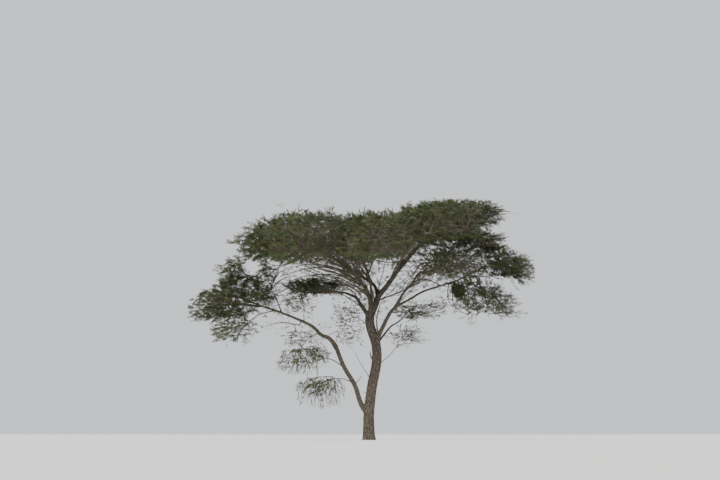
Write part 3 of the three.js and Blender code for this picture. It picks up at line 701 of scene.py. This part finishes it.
            [(-1.6, 1.2, 6.16), (-2.4, 1.55, 6.15), (-3.2, 1.7, 6.2)],
            [(-1.5, 0.8, 6.2), (-2.2, 0.9, 6.22), (-2.9, 1, 6.25)],
        ],
    ),
    "stick_clump": massOn("clump_bough", (3.74, -0.25, 6.2), (0.34, 0.34, 0.37)),
}
leafy = [name for name in masses if name != "stick_clump"]
growth = {
    "flatness": 2.2,  # weight of heights on the border between two masses
    "cellGap": 0.008,
    "reach": 0.9,  # branches end at this share of the way to the outline
    "over": 0.87,  # share of its half height kept above a middle, as leaves add the rest
    "inset": 0.05,  # from the solids' box
    "tries": 16,  # for each place
    "heart": 0.9,  # how much denser the hearts are
    "upward": 0.6,  # how much denser the top of a space is than its middle
    "toTips": (0.7, 0.78, 0.86, 0.94),  # places on the way out to a tip
    "pathCost": 0.35,  # of the way back to the limb
    "near": 1.4,  # branches can leave other limbs inside this outline
    "rootStart": (0.15, 0.3),  # from this share of its own bough's length, and of theirs
    "limbShare": (0.45, 1.0),  # of a limb's radius, for a branch along it and at its tip
    "sideTwigs": 0.85,  # side twigs for each two points of a rib outside its mass
    "sideLengths": (0.2, 0.5),
    "straight": 0.3,  # a step longer than this bends
    "wander": 0.09,
    "tipRadius": 0.0042,
    "thickening": 0.46,  # power of the number of ends that a branch carries
    "seed": 11,
}
ribLook = {
    "window": (0.5, 6.85, 0.42, 0.42),  # no ribs cross this part of the sky, above the fork
    "tries": 60,
    "step": 0.22,  # between the points of a rib
    "start": 1.05,  # ribs leave their boughs outside this outline, below the mass
    "end": 0.78,  # and end inside this one
    "top": 0.2,  # share of the half height above the middle
    "least": (0.05, 0.02, 0.15),  # share along a bough, its radius there, and a rib's rise
    "lengths": (1.2, 4.2),
    "lean": 0.85,  # cosine of the angle at which ribs leave a bough
    "leanCost": 2,
    "loose": 0.2,  # random part of the choice between starts
    "pull": (0.55, 0.45),  # along the bough, and towards its end
    "lift": 0.12,
    "spread": (1, 1, 0.35),  # ribs end flatter than they rise
    "wander": 0.035,
    "share": 0.5,  # of the bough's radius at most
    "ease": 0.12,  # share of its length that counts in pathCost
    "load": 0.6,
    "radii": (0.02, 0.008),  # least radii at its two ends
}
spineLook = {"share": 0.9, "ease": 0.1, "radii": (0.034, 0.012)}
shootLook = {
    "most": 5,  # leaves grow where a branch carries at most this many ends
    "length": 0.27,
    "lengths": (0.65, 1.35),
    "radii": (0.004, 0.0022),
    "aside": 0.4,  # share of the leaves that are on the shorter shoot at its side
    "asideLength": 0.65,
    "strand": 0.42,
    "strandSteps": 4,
    "droop": (0, 0, 0.45),
}
low, high = np.array(solidsBox[0]), np.array(solidsBox[1])


def unit(vector):
    return vector / (np.linalg.norm(vector) + 1e-9)


def outlineOf(name, p):  # 1 on the outline of a mass's space, less inside
    space = masses[name]
    offset = p - space["at"]
    across = np.hypot(offset[:, 0] / space["half"][0], offset[:, 1] / space["half"][1])
    rise = offset[:, 2] - offset[:, :2] @ space["slope"]
    up = np.abs(rise) / space["half"][2] / np.where(rise < 0, space["under"], growth["over"])
    return (across ** space["power"] + up ** space["power"]) ** (1 / space["power"])


def inCell(name, p):  # on the mass's own side of its border with each other mass
    scale = np.array([1, 1, growth["flatness"]])
    own = masses[name]
    middle = own["at"] * scale
    inside = np.ones(len(p), bool)
    for other, space in masses.items():
        if other == name:
            continue
        towards = space["at"] * scale - middle
        apart = np.linalg.norm(towards)
        weights = [np.mean(one["half"] * scale) ** 2 for one in (own, space)]
        limit = (apart**2 + weights[0] - weights[1]) / (2 * apart) - growth["cellGap"]
        inside &= (p * scale - middle) @ (towards / apart) < limit
    return inside


def inEllipses(p, ellipses):
    inside = np.zeros(len(p), bool)
    for x, z, halfWidth, halfHeight in ellipses:
        inside |= ((p[:, 0] - x) / halfWidth) ** 2 + ((p[:, 2] - z) / halfHeight) ** 2 < 1
    return inside


def candidatesFor(name, count, rng):
    space = masses[name]
    tried = space["at"] + (rng.random((count, 3)) * 2 - 1) * space["half"] * (1, 1, 1.4)
    tried = tried[(outlineOf(name, tried) < growth["reach"]) & inCell(name, tried)]
    return tried[~inEllipses(tried, space["clearings"])]


def spreadOut(tried, count, favour):  # count of them, each far from those before it
    chosen = np.empty((count, 3))
    chosen[0] = tried[0]
    each = max(1, (len(tried) - 1) // count)
    for i in range(1, count):
        group = slice(1 + (i - 1) * each, 1 + i * each)
        gaps = np.linalg.norm(tried[group][:, None] - chosen[None, :i], axis=2).min(axis=1)
        chosen[i] = tried[group][(gaps * favour[group]).argmax()]
    return chosen


def placesFor(name, rng):  # places all over the space, closer in its hearts, then a row out to each tip
    space = masses[name]
    tried = candidatesFor(name, space["places"] * growth["tries"], rng)
    favour = 1 + growth["heart"] * inEllipses(tried, space["hearts"])
    favour += growth["upward"] * np.clip((tried[:, 2] - space["at"][2]) / space["half"][2], 0, 1)
    rows = [spreadOut(tried, space["places"], favour)]
    for tip in space["tips"]:
        rows.append(space["at"] + (np.array(tip) - space["at"]) * np.array(growth["toTips"])[:, None])
    return np.vstack(rows)


marks = marksOf(boughs)


def limbsUnder(name):  # the mass's bough and the limbs that it grows from, without the trunk
    found = [masses[name]["on"]]
    for limb in found:
        found += [other for other in limbs[limb]["on"] if other != "trunk"]
    return found


def addLine(grown, spots, most, ease, radii):  # a main branch that is there before the others grow
    before = -1
    for i, spot in enumerate(spots):
        share = i / (len(spots) - 1)
        grown["at"].append(spot)
        grown["parent"].append(before)
        grown["path"].append(ease * share)
        grown["most"].append(most)
        grown["least"].append(radii[0] + (radii[1] - radii[0]) * share)
        before = len(grown["at"]) - 1


def addSpines(name, grown):  # main branches given one by one, each from the nearest limb of the mass
    allowed = np.isin(marks["names"], limbsUnder(name))
    for way in masses[name]["spines"]:
        far = np.linalg.norm(marks["points"] - np.array(way[0]), axis=1)
        start = int(np.where(allowed, far, 1e9).argmin())
        spots, _ = alongWay([tuple(marks["points"][start]), *way], ribLook["step"], 3)
        most = spineLook["share"] * marks["radii"][start]
        addLine(grown, spots, most, spineLook["ease"], spineLook["radii"])


def ribTo(target, start, far, rng):  # leaves the bough along it and ends pointing outward
    first, tangent = marks["points"][start], marks["tangents"][start]
    straight = (target - first) / far
    third = far / 3
    along, onward = ribLook["pull"]
    second = first + third * (along * tangent + onward * straight + (0, 0, ribLook["lift"]))
    last = target - third * unit(straight * ribLook["spread"])
    steps = max(3, round(far / ribLook["step"]))
    t = np.linspace(0, 1, steps + 1)[:, None]
    left = 1 - t
    spots = left**3 * first + 3 * left**2 * t * second + 3 * left * t**2 * last + t**3 * target
    bend = rng.normal(0, ribLook["wander"], (steps + 1, 3)).cumsum(axis=0) * 0.6
    return spots + bend * np.sin(math.pi * np.minimum(1, t * 1.2))


def addRibs(name, grown, rng):  # long branches that rise from the boughs and fan out into the mass
    count = masses[name]["ribs"]
    if not count:
        return
    leastShare, leastRadius, leastRise = ribLook["least"]
    allowed = np.isin(marks["names"], limbsUnder(name)) & (marks["share"] > leastShare)
    allowed &= marks["radii"] > leastRadius
    allowed &= outlineOf(name, marks["points"]) > ribLook["start"]
    tried = candidatesFor(name, count * ribLook["tries"], rng)
    top = masses[name]["at"][2] + ribLook["top"] * masses[name]["half"][2]
    tried = tried[(tried[:, 2] < top) & (outlineOf(name, tried) < ribLook["end"])]
    for target in spreadOut(tried, count, np.ones(len(tried))):
        gap = target - marks["points"]
        far = np.linalg.norm(gap, axis=1)
        lean = (gap * marks["tangents"]).sum(axis=1) / far
        cost = np.abs(far - rng.uniform(*ribLook["lengths"]))
        cost = cost + ribLook["leanCost"] * (lean - ribLook["lean"]) ** 2
        cost = np.where(allowed & (gap[:, 2] > leastRise), cost, 1e9)
        start = int((cost + rng.uniform(0, ribLook["loose"], len(cost))).argmin())
        if cost[start] > 1e8:
            continue
        spots = ribTo(target, start, far[start], rng)
        if inEllipses(spots, [ribLook["window"]]).any():
            continue
        most = ribLook["share"] * marks["radii"][start]
        addLine(grown, spots, most, ribLook["ease"] * far[start], ribLook["radii"])


def rootsFor(name):  # where a mass's branches can leave the limbs: its bough's end and limbs that pass near
    ownStart, otherStart = growth["rootStart"]
    alongLimb, atTip = growth["limbShare"]
    own = (marks["names"] == masses[name]["on"]) & (marks["share"] > ownStart)
    near = (outlineOf(name, marks["points"]) < growth["near"]) & inCell(name, marks["points"])
    near = near & (marks["share"] > otherStart) | own
    most = marks["radii"][near] * np.where(marks["share"][near] > 0.97, atTip, alongLimb)
    return marks["points"][near], most, marks["points"][own]


def besideThese(spots, rng):  # ends for side twigs, one by each spot
    side = rng.normal(0, 1, (len(spots), 3)) + (0, 0, 0.3)
    side /= np.linalg.norm(side, axis=1)[:, None]
    return spots + side * rng.uniform(*growth["sideLengths"], (len(spots), 1))


def loadsOf(parent, seeds):  # how many ends each point carries
    load = np.ones(len(parent))
    load[:seeds] = ribLook["load"]
    for i in range(len(parent) - 1, -1, -1):
        if parent[i] >= 0:
            load[parent[i]] += load[i]
    return load


def growBranches(name, rng):  # joins the places into trees, always by the cheapest next step
    roots, most, bough = rootsFor(name)
    grown = {"at": [*roots], "most": [*most], "parent": [-1] * len(roots)}
    grown.update(path=[0.0] * len(roots), least=[0.0] * len(roots))
    addSpines(name, grown)
    addRibs(name, grown, rng)
    at, parent = grown["at"], grown["parent"]
    ribs = np.repeat(np.array(at[len(roots) :]).reshape(-1, 3), 2, axis=0)
    free = ribs[(rng.random(len(ribs)) < growth["sideTwigs"]) & (outlineOf(name, ribs) > 0.95)]
    hairy = bough[rng.integers(0, len(bough), masses[name]["sideTwigs"])]
    waiting = np.vstack([placesFor(name, rng), besideThese(free, rng), besideThese(hairy, rng)])
    waiting = np.clip(waiting, low + growth["inset"], high - growth["inset"])
    seeds = len(at)
    gaps = np.linalg.norm(waiting[:, None] - np.array(at)[None], axis=2) + np.array(grown["path"])
    cost, best = gaps.min(axis=1), gaps.argmin(axis=1)
    path = [0.0] * seeds
    for _ in range(len(waiting)):
        i = int(cost.argmin())
        spot = waiting[i].copy()
        at.append(spot)
        parent.append(int(best[i]))
        grown["most"].append(0)
        grown["least"].append(0)
        path.append(path[best[i]] + float(np.linalg.norm(spot - at[best[i]])))
        waiting[i] = 1e6
        cost[i] = 1e9
        offer = np.linalg.norm(waiting - spot, axis=1) + growth["pathCost"] * path[-1]
        better = (offer < cost) & (cost < 1e8)
        cost[better] = offer[better]
        best[better] = len(at) - 1
    grown.update(at=np.array(at), load=loadsOf(parent, seeds), seeds=seeds)
    return grown


def chainsOf(tree):  # each chain follows its heaviest branch to the end, the others start more chains
    children = {}
    for i, parent in enumerate(tree["parent"]):
        if parent >= 0:
            children.setdefault(parent, []).append(i)
    radius = growth["tipRadius"] * np.maximum(tree["load"], 1) ** growth["thickening"]
    radius = np.maximum(radius, tree["least"])
    tops = [i for i, parent in enumerate(tree["parent"]) if parent < 0]
    starts = [(top, child) for top in tops for child in children.get(top, [])]
    chains = []
    while starts:
        origin, child = starts.pop()
        limit = tree["most"][origin] if tree["parent"][origin] < 0 else radius[origin]
        chain = [(tree["at"][origin], min(limit, radius[child] * 1.15))]
        while True:
            limit = min(limit, radius[child])
            chain.append((tree["at"][child], limit))
            forks = sorted(children.get(child, []), key=lambda c: -tree["load"][c])
            starts += [(child, fork) for fork in forks[1:]]
            if not forks:
                break
            child = forks[0]
        chains.append(chain)
    return chains


tubes = {kind: {"points": [], "radii": [], "edges": []} for kind in ("branches", "twigs")}
leaves = {"points": [], "headings": [], "tints": []}
stubs = [  # bare side branches, each with its radius where it starts
    (0.045, [
        (1.62, -0.72, 6.32), (2, -0.72, 6.5), (2.25, -0.66, 6.7), (2.6, -0.55, 6.62),
        (2.95, -0.4, 6.45),
    ]),
    (0.038, [(0, -0.1, 5.98), (-0.36, -0.12, 6.26), (-0.6, -0.15, 6.5)]),
    (0.036, [(-0.25, 0.1, 5.5), (-0.43, 0.2, 5.88), (-0.62, 0.35, 6.12), (-0.95, 0.5, 6.38)]),
    (0.03, [(-0.05, -0.12, 6.12), (-0.42, -0.18, 6.36), (-0.8, -0.2, 6.66)]),
    (0.04, [
        (0.4, -0.1, 4.4), (0.34, -0.2, 4.75), (0.34, -0.25, 5.05), (0.39, -0.2, 5.35), (0.5, -0.1, 5.7),
    ]),
    (0.045, [(0.2, 0, 3.3), (0.1, -0.06, 3.48), (0.05, -0.1, 3.68)]),
    (0.016, [(0, 0, 1.98), (-0.14, -0.03, 1.97), (-0.26, -0.05, 2.03)]),
    (0.026, [(-0.6, -0.2, 2.3), (-0.44, -0.24, 2.46), (-0.28, -0.27, 2.64)]),
    (0.02, [(-1.37, -0.42, 3.86), (-1.35, -0.45, 4.08), (-1.33, -0.45, 4.34)]),
    (0.03, [(4.7, 0, 9.4), (5.4, 0, 9.5), (5.93, 0, 9.52)]),
    (0.026, [(0.42, 0, 6.2), (0.45, -0.05, 6.55), (0.6, -0.1, 6.95), (0.66, -0.1, 7.4)]),
    (0.026, [(4.7, 0.2, 9.3), (5.3, 0.2, 9.4), (5.75, 0.2, 9.4)]),
]
stubTaper = 0.55
twigLook = {"stout": 0.011, "branchSides": 5, "twigSides": 3}  # stouter chains than this are branches
leafLook = {
    "length": 0.15,
    "spread": 0.25,
    "tilt": 0.55,
    "pairs": 4,
    "width": 0.62,  # whole leaf's width as a share of its length
    "leaflet": 0.2,  # a leaflet's width as a share of the leaf's length
    "stalk": 0.06,
    "droop": 0.16,
    "shares": (0.23, 0.22, 0.2, 0.18, 0.17),  # of the sprays, for each tint
    "tints": [
        (0.05, 0.072, 0.02, 1), (0.066, 0.088, 0.026, 1), (0.04, 0.06, 0.018, 1),
        (0.09, 0.104, 0.034, 1), (0.062, 0.068, 0.022, 1),
    ],
    "roughness": 0.6,
    "specular": 0.35,
}


def bentSteps(chain, rng):  # the longer steps of a chain get extra points that wander a little
    bent = chain[:1]
    for (spot, radius), (following, thinner) in zip(chain, chain[1:]):
        gap = np.linalg.norm(following - spot)
        extra = int(gap / growth["straight"])
        for i in range(1, extra + 1):
            share = i / (extra + 1)
            wander = rng.normal(0, growth["wander"] * gap / (extra + 1), 3)
            bent.append((spot + (following - spot) * share + wander, radius + (thinner - radius) * share))
        bent.append((following, thinner))
    return bent


def addChain(chain, made):
    start = len(made["points"])
    for i, (spot, radius) in enumerate(chain):
        made["points"].append(spot)
        made["radii"].append(radius)
        if i:
            made["edges"].append((start + i - 1, start + i))


def addLeaf(spot, heading, tint):
    tip = spot + heading * leafLook["length"]
    if (tip > low).all() and (tip < high).all():
        leaves["points"].append(spot)
        leaves["headings"].append(heading)
        leaves["tints"].append(tint)


def turnedBy(heading, turn, lift):
    return unit(np.array([
        heading[0] * math.cos(turn) - heading[1] * math.sin(turn),
        heading[0] * math.sin(turn) + heading[1] * math.cos(turn),
        heading[2] + lift,
    ]))


def turnedAside(heading, least, most, lift, rng):  # to one side or the other
    return turnedBy(heading, rng.choice((-1, 1)) * rng.uniform(least, most), lift)


def addShoot(spot, heading, length, count, tint, rng):  # a thin shoot with leaves on both sides
    end = np.clip(spot + heading * length, low, high)
    addChain(list(zip((spot, end), shootLook["radii"])), tubes["twigs"])
    for k in range(count):
        turn = (-1) ** k * rng.uniform(0.3, 1.0) * (1 - 0.6 * k / count)
        leaf = turnedBy(heading, turn, rng.normal(0, 0.25))
        addLeaf(spot + (end - spot) * (0.15 + 0.85 * (k + 1) / count), leaf, tint)


def addStrand(spot, heading, tint, rng):  # a thin twig that bends down under its own weight
    steps = shootLook["strandSteps"]
    chain = [(spot, shootLook["radii"][0])]
    for _ in range(steps):
        heading = unit(heading + rng.normal(0, 0.16, 3) - shootLook["droop"])
        spot = spot + heading * shootLook["strand"] / steps
        chain.append((spot, chain[-1][1] - 0.0005))
        addLeaf(spot, turnedAside(heading, 0.3, 1, 0.1, rng), tint)
    addChain(chain, tubes["twigs"])


def addSpray(spot, heading, count, tint, rng):  # a leafy shoot with a shorter one at its side
    length = shootLook["length"] * rng.uniform(*shootLook["lengths"])
    aside = round(count * shootLook["aside"])
    addShoot(spot, heading, length, count - aside, tint, rng)
    side = rng.choice((-1, 1)) * rng.uniform(0.5, 0.9)
    turned = turnedBy(heading, side, rng.normal(0, 0.2))
    addShoot(spot + heading * length * 0.3, turned, length * shootLook["asideLength"], aside, tint, rng)


def addLeaves(name, tree, rng):  # at the thin ends, fewer of them outside the mass's space
    own = masses[name]
    bare = outlineOf(name, tree["at"]) > 1
    for i in range(tree["seeds"], len(tree["at"])):
        spot, load = tree["at"][i], tree["load"][i]
        isEnd = load <= 1.5
        if load > shootLook["most"] or bare[i] and not isEnd:
            continue
        onward = unit(spot - tree["at"][tree["parent"][i]])
        outward = unit((spot - masses[name]["at"]) * (1, 1, 0.3))
        tint = int(rng.choice(5, p=leafLook["shares"]))
        heading = 0.5 * onward + 0.4 * outward + rng.normal(0, 0.33, 3) + (0, 0, 0.12 - own["weeping"])
        heading = unit(heading * (1, 1, 1 if own["weeping"] else 0.5))
        if not isEnd:
            addLeaf(spot, heading, tint)
            addLeaf(spot, turnedAside(heading, 0.6, 1.4, 0.1, rng), tint)
        elif rng.random() < own["weeping"]:
            addStrand(spot, heading, tint, rng)
        else:
            addSpray(spot, heading, own["bareLeaves" if bare[i] else "leaves"], tint, rng)


for index, name in enumerate(leafy):
    rng = np.random.default_rng(growth["seed"] + 31 * index)
    tree = growBranches(name, rng)
    for chain in chainsOf(tree):
        addChain(bentSteps(chain, rng), tubes["branches" if chain[0][1] > twigLook["stout"] else "twigs"])
    addLeaves(name, tree, rng)
for radius, way in stubs:
    spots, along = alongWay(way, 1, 8)
    addChain(list(zip(spots, radius * (1 - stubTaper * along / along[-1]))), tubes["branches"])
print("grown:", {kind: len(made["edges"]) for kind, made in tubes.items()}, "stretches")
print(len(leaves["points"]), "leaves")

# Branches, twigs and sticks as tubes along their edges.
tubeTree, maker, given = newTree("tubesAlongTwigs", {
    "Sides": "Int", "Smoothness": "Int", "Finish": "Material",
})
curve = maker.node("GeometryNodeMeshToCurve", values={0: given["Geometry"]})
curve = maker.node("GeometryNodeCurveSplineType", {"spline_type": "CATMULL_ROM"}, {0: curve})
curve = maker.node("GeometryNodeSetSplineResolution", values={0: curve, 2: given["Smoothness"]})
section = maker.node("GeometryNodeCurvePrimitiveCircle", {"mode": "RADIUS"}, {0: given["Sides"], 4: 1.0})
tube = maker.node("GeometryNodeCurveToMesh", values={
    0: curve, 1: section, 2: maker.stored("thickness", "FLOAT"),
})
tube = maker.node("GeometryNodeSetShadeSmooth", values={0: tube})
endTree(maker, tube, given["Finish"])


def tubesFrom(made, sides, smoothness, finish, name):
    carrier = newObject("carrier", made["points"], edges=made["edges"])
    storeOnPoints(carrier, "thickness", "FLOAT", made["radii"])
    sizes = {"Sides": sides, "Smoothness": smoothness, "Finish": finish}
    return grownFrom(carrier, tubeTree, sizes, name)


keep(tubesFrom(tubes["branches"], twigLook["branchSides"], 1, youngBark, "branches"), leafy)
keep(tubesFrom(tubes["twigs"], twigLook["twigSides"], 1, youngBark, "twigs"), leafy)


def droopAt(x):
    return -leafLook["droop"] * x * x


def leafShape():  # one leaf: a thin stalk with pairs of pointed leaflets, each a single face
    points, faces = [], []

    def blade(base, tip, width):
        base, tip = np.array(base, float), np.array(tip, float)
        side = unit(np.cross(tip - base, (0, 0, 1.0))) * width / 2
        start = len(points)
        middle = base + (tip - base) * 0.25
        points.extend([middle + side, tip, middle - side])
        faces.append((start, start + 2, start + 1))

    pairs, half, leaflet = leafLook["pairs"], leafLook["width"] / 2, leafLook["leaflet"]
    for i in range(pairs):
        x = 0.08 + 0.68 * i / (pairs - 1)
        long = half * (0.72 + 0.28 * math.sin(math.pi * (i + 0.8) / pairs))
        for side in (-1, 1):
            blade((x, 0, droopAt(x)), (x + 0.45 * long, side * long, droopAt(x) - 0.05), leaflet)
    blade((0.72, 0, droopAt(0.72)), (1.0, 0, droopAt(1.0)), leaflet)
    blade((-0.2, 0, 0), (0.9, 0, droopAt(0.9)), leafLook["stalk"])
    return newObject("leafShape", points, faces)


leafTree, maker, given = newTree("leavesOnShoots", {
    "Leaf": "Object", "Length": "Float", "Spread": "Float", "Tilt": "Float", "Seed": "Int",
    "Finish": "Material",
})
heading = maker.stored("heading", "FLOAT_VECTOR")
aimed = maker.node("FunctionNodeAlignRotationToVector", {"axis": "X"}, {2: heading})
roll = maker.random(given["Seed"]) * given["Tilt"]
euler = maker.node("ShaderNodeCombineXYZ", values={0: roll, 1: 0.0, 2: 0.0})
turned = maker.node("FunctionNodeRotateRotation", {"rotation_space": "LOCAL"}, {
    0: aimed, 1: maker.node("FunctionNodeEulerToRotation", values={0: euler}),
})
size = maker.random(given["Seed"] + 7)
leaf = maker.node("GeometryNodeObjectInfo", values={0: given["Leaf"]}, output="Geometry")
placed = maker.node("GeometryNodeInstanceOnPoints", values={
    0: given["Geometry"], 2: leaf, 5: turned, 6: given["Length"] * (1 + size * given["Spread"]),
})
endTree(maker, placed, given["Finish"])

shape = leafShape()
leaves = {key: np.array(value) for key, value in leaves.items()}
for tint, colour in enumerate(leafLook["tints"]):
    material, _, entries = newMaterial(f"leafGreen{tint + 1}", leafLook["roughness"])
    entries["Base Color"].default_value = colour
    entries["Specular IOR Level"].default_value = leafLook["specular"]
    own = leaves["tints"] == tint
    carrier = newObject("leafCarrier", leaves["points"][own])
    storeOnPoints(carrier, "heading", "FLOAT_VECTOR", leaves["headings"][own])
    sizes = {
        "Leaf": shape, "Length": leafLook["length"], "Spread": leafLook["spread"],
        "Tilt": leafLook["tilt"], "Seed": 5 + tint, "Finish": material,
    }
    keep(grownFrom(carrier, leafTree, sizes, f"leaf_sprays_{tint + 1}"), leafy)
bpy.data.objects.remove(shape)
print("foliage done")

# The ball of dry sticks: short crossed sticks wound round one middle, some of them sticking out.
clumpLook = {
    "sticks": 720,
    "length": 0.26,
    "lengths": (0.6, 1.4),
    "radius": 0.0055,
    "slope": -0.2,
    "taper": 0.32,  # how much wider it is at its top than in its middle
    "loose": 0.35,  # share of the sticks that stick out
    "looseLean": 0.7,  # how much they point outward, and the others
    "woundLean": 0.1,
    "looseBow": 0.1,  # how far their ends bend in, and the others'
    "woundBow": 0.3,
    "depth": (0.25, 0.68, 0.6),  # least depth, the rest of it, and its power
    "roughness": 0.9,
    "grain": 14,
    "dark": (0.035, 0.025, 0.016, 1),
    "pale": (0.15, 0.115, 0.075, 1),
    "seed": 5,
}


def clumpSticks():
    rng = np.random.default_rng(clumpLook["seed"])
    space = masses["stick_clump"]
    core, rest, power = clumpLook["depth"]
    made = {"points": [], "radii": [], "edges": []}
    for _ in range(clumpLook["sticks"]):
        out = unit(rng.normal(0, 1, 3))
        kind = "loose" if rng.random() < clumpLook["loose"] else "wound"
        way = unit(np.cross(out, rng.normal(0, 1, 3)) + out * clumpLook[kind + "Lean"])
        depth = core + rest * rng.random() ** power
        wide = 1 + clumpLook["taper"] * out[2]
        long = clumpLook["length"] * rng.uniform(*clumpLook["lengths"])
        chain = []
        for share in (-0.5, 0, 0.5):
            bow = 1 - clumpLook[kind + "Bow"] * (2 * share) ** 2
            offset = out * space["half"] * depth * (wide, wide, 1) * bow + way * long * share
            offset[2] += clumpLook["slope"] * offset[0]
            chain.append((space["at"] + offset, clumpLook["radius"] * rng.uniform(0.6, 1.2)))
        addChain(chain, made)
    return made


dryStick, maker, entries = newMaterial("dryStick", clumpLook["roughness"])
place = maker.node("ShaderNodeTexCoord", output="Object")
grain = maker.node("ShaderNodeTexNoise", values={"Vector": place, "Scale": clumpLook["grain"], "Detail": 4})
maker.feed(entries["Base Color"], maker.blend(grain, clumpLook["dark"], clumpLook["pale"]))
keep(tubesFrom(clumpSticks(), 4, 2, dryStick, "stick_nest"), ["stick_clump"])

# Floor, lights and camera.
stage = {
    "floor": (0.78, 0.77, 0.75, 1),
    "mottle": 0.94,
    "radius": 450,
    "sky": (0.9, 0.92, 0.95, 1),
    "skyStrength": 1.0,
}
bpy.ops.mesh.primitive_circle_add(vertices=96, radius=stage["radius"], fill_type="NGON")
floor = bpy.context.object
floor.name = "floor"
paleFloor, maker, entries = newMaterial("paleFloor", 0.9)
place = maker.node("ShaderNodeTexCoord", output="Object")
mottle = maker.node("ShaderNodeTexNoise", values={"Vector": place, "Scale": 0.6, "Detail": 4})
shaded = tuple(c * stage["mottle"] for c in stage["floor"][:3]) + (1,)
maker.feed(entries["Base Color"], maker.blend(mottle, stage["floor"], shaded))
floor.data.materials.append(paleFloor)

world = bpy.data.worlds.new("studio")
bpy.context.scene.world = world
world.use_nodes = True
world.node_tree.nodes["Background"].inputs["Color"].default_value = stage["sky"]
world.node_tree.nodes["Background"].inputs["Strength"].default_value = stage["skyStrength"]


def addSun(name, strength, softness, turn, colour):
    data = bpy.data.lights.new(name, "SUN")
    data.energy = strength
    data.angle = math.radians(softness)
    data.color = colour
    linked(name, data).rotation_euler = [math.radians(angle) for angle in turn]


addSun("key", 2.6, 14, (48, 0, -38), (1, 0.97, 0.92))
addSun("fill", 0.9, 40, (62, 0, 60), (0.9, 0.95, 1))
addSun("back", 1.0, 30, (55, 0, 165), (1, 0.98, 0.95))

shot = {"distance": 500, "height": 0.5, "aim": (-0.358, 0, 8.333), "width": 30, "farthest": 2000}
camera = linked("camera", bpy.data.cameras.new("camera"))
aim = Vector(shot["aim"])
camera.location = (aim.x, -shot["distance"], shot["height"])
towards = aim - camera.location
camera.rotation_euler = towards.to_track_quat("-Z", "Y").to_euler()
camera.data.lens = camera.data.sensor_width * towards.length / shot["width"]
camera.data.clip_end = shot["farthest"]
bpy.context.scene.camera = camera
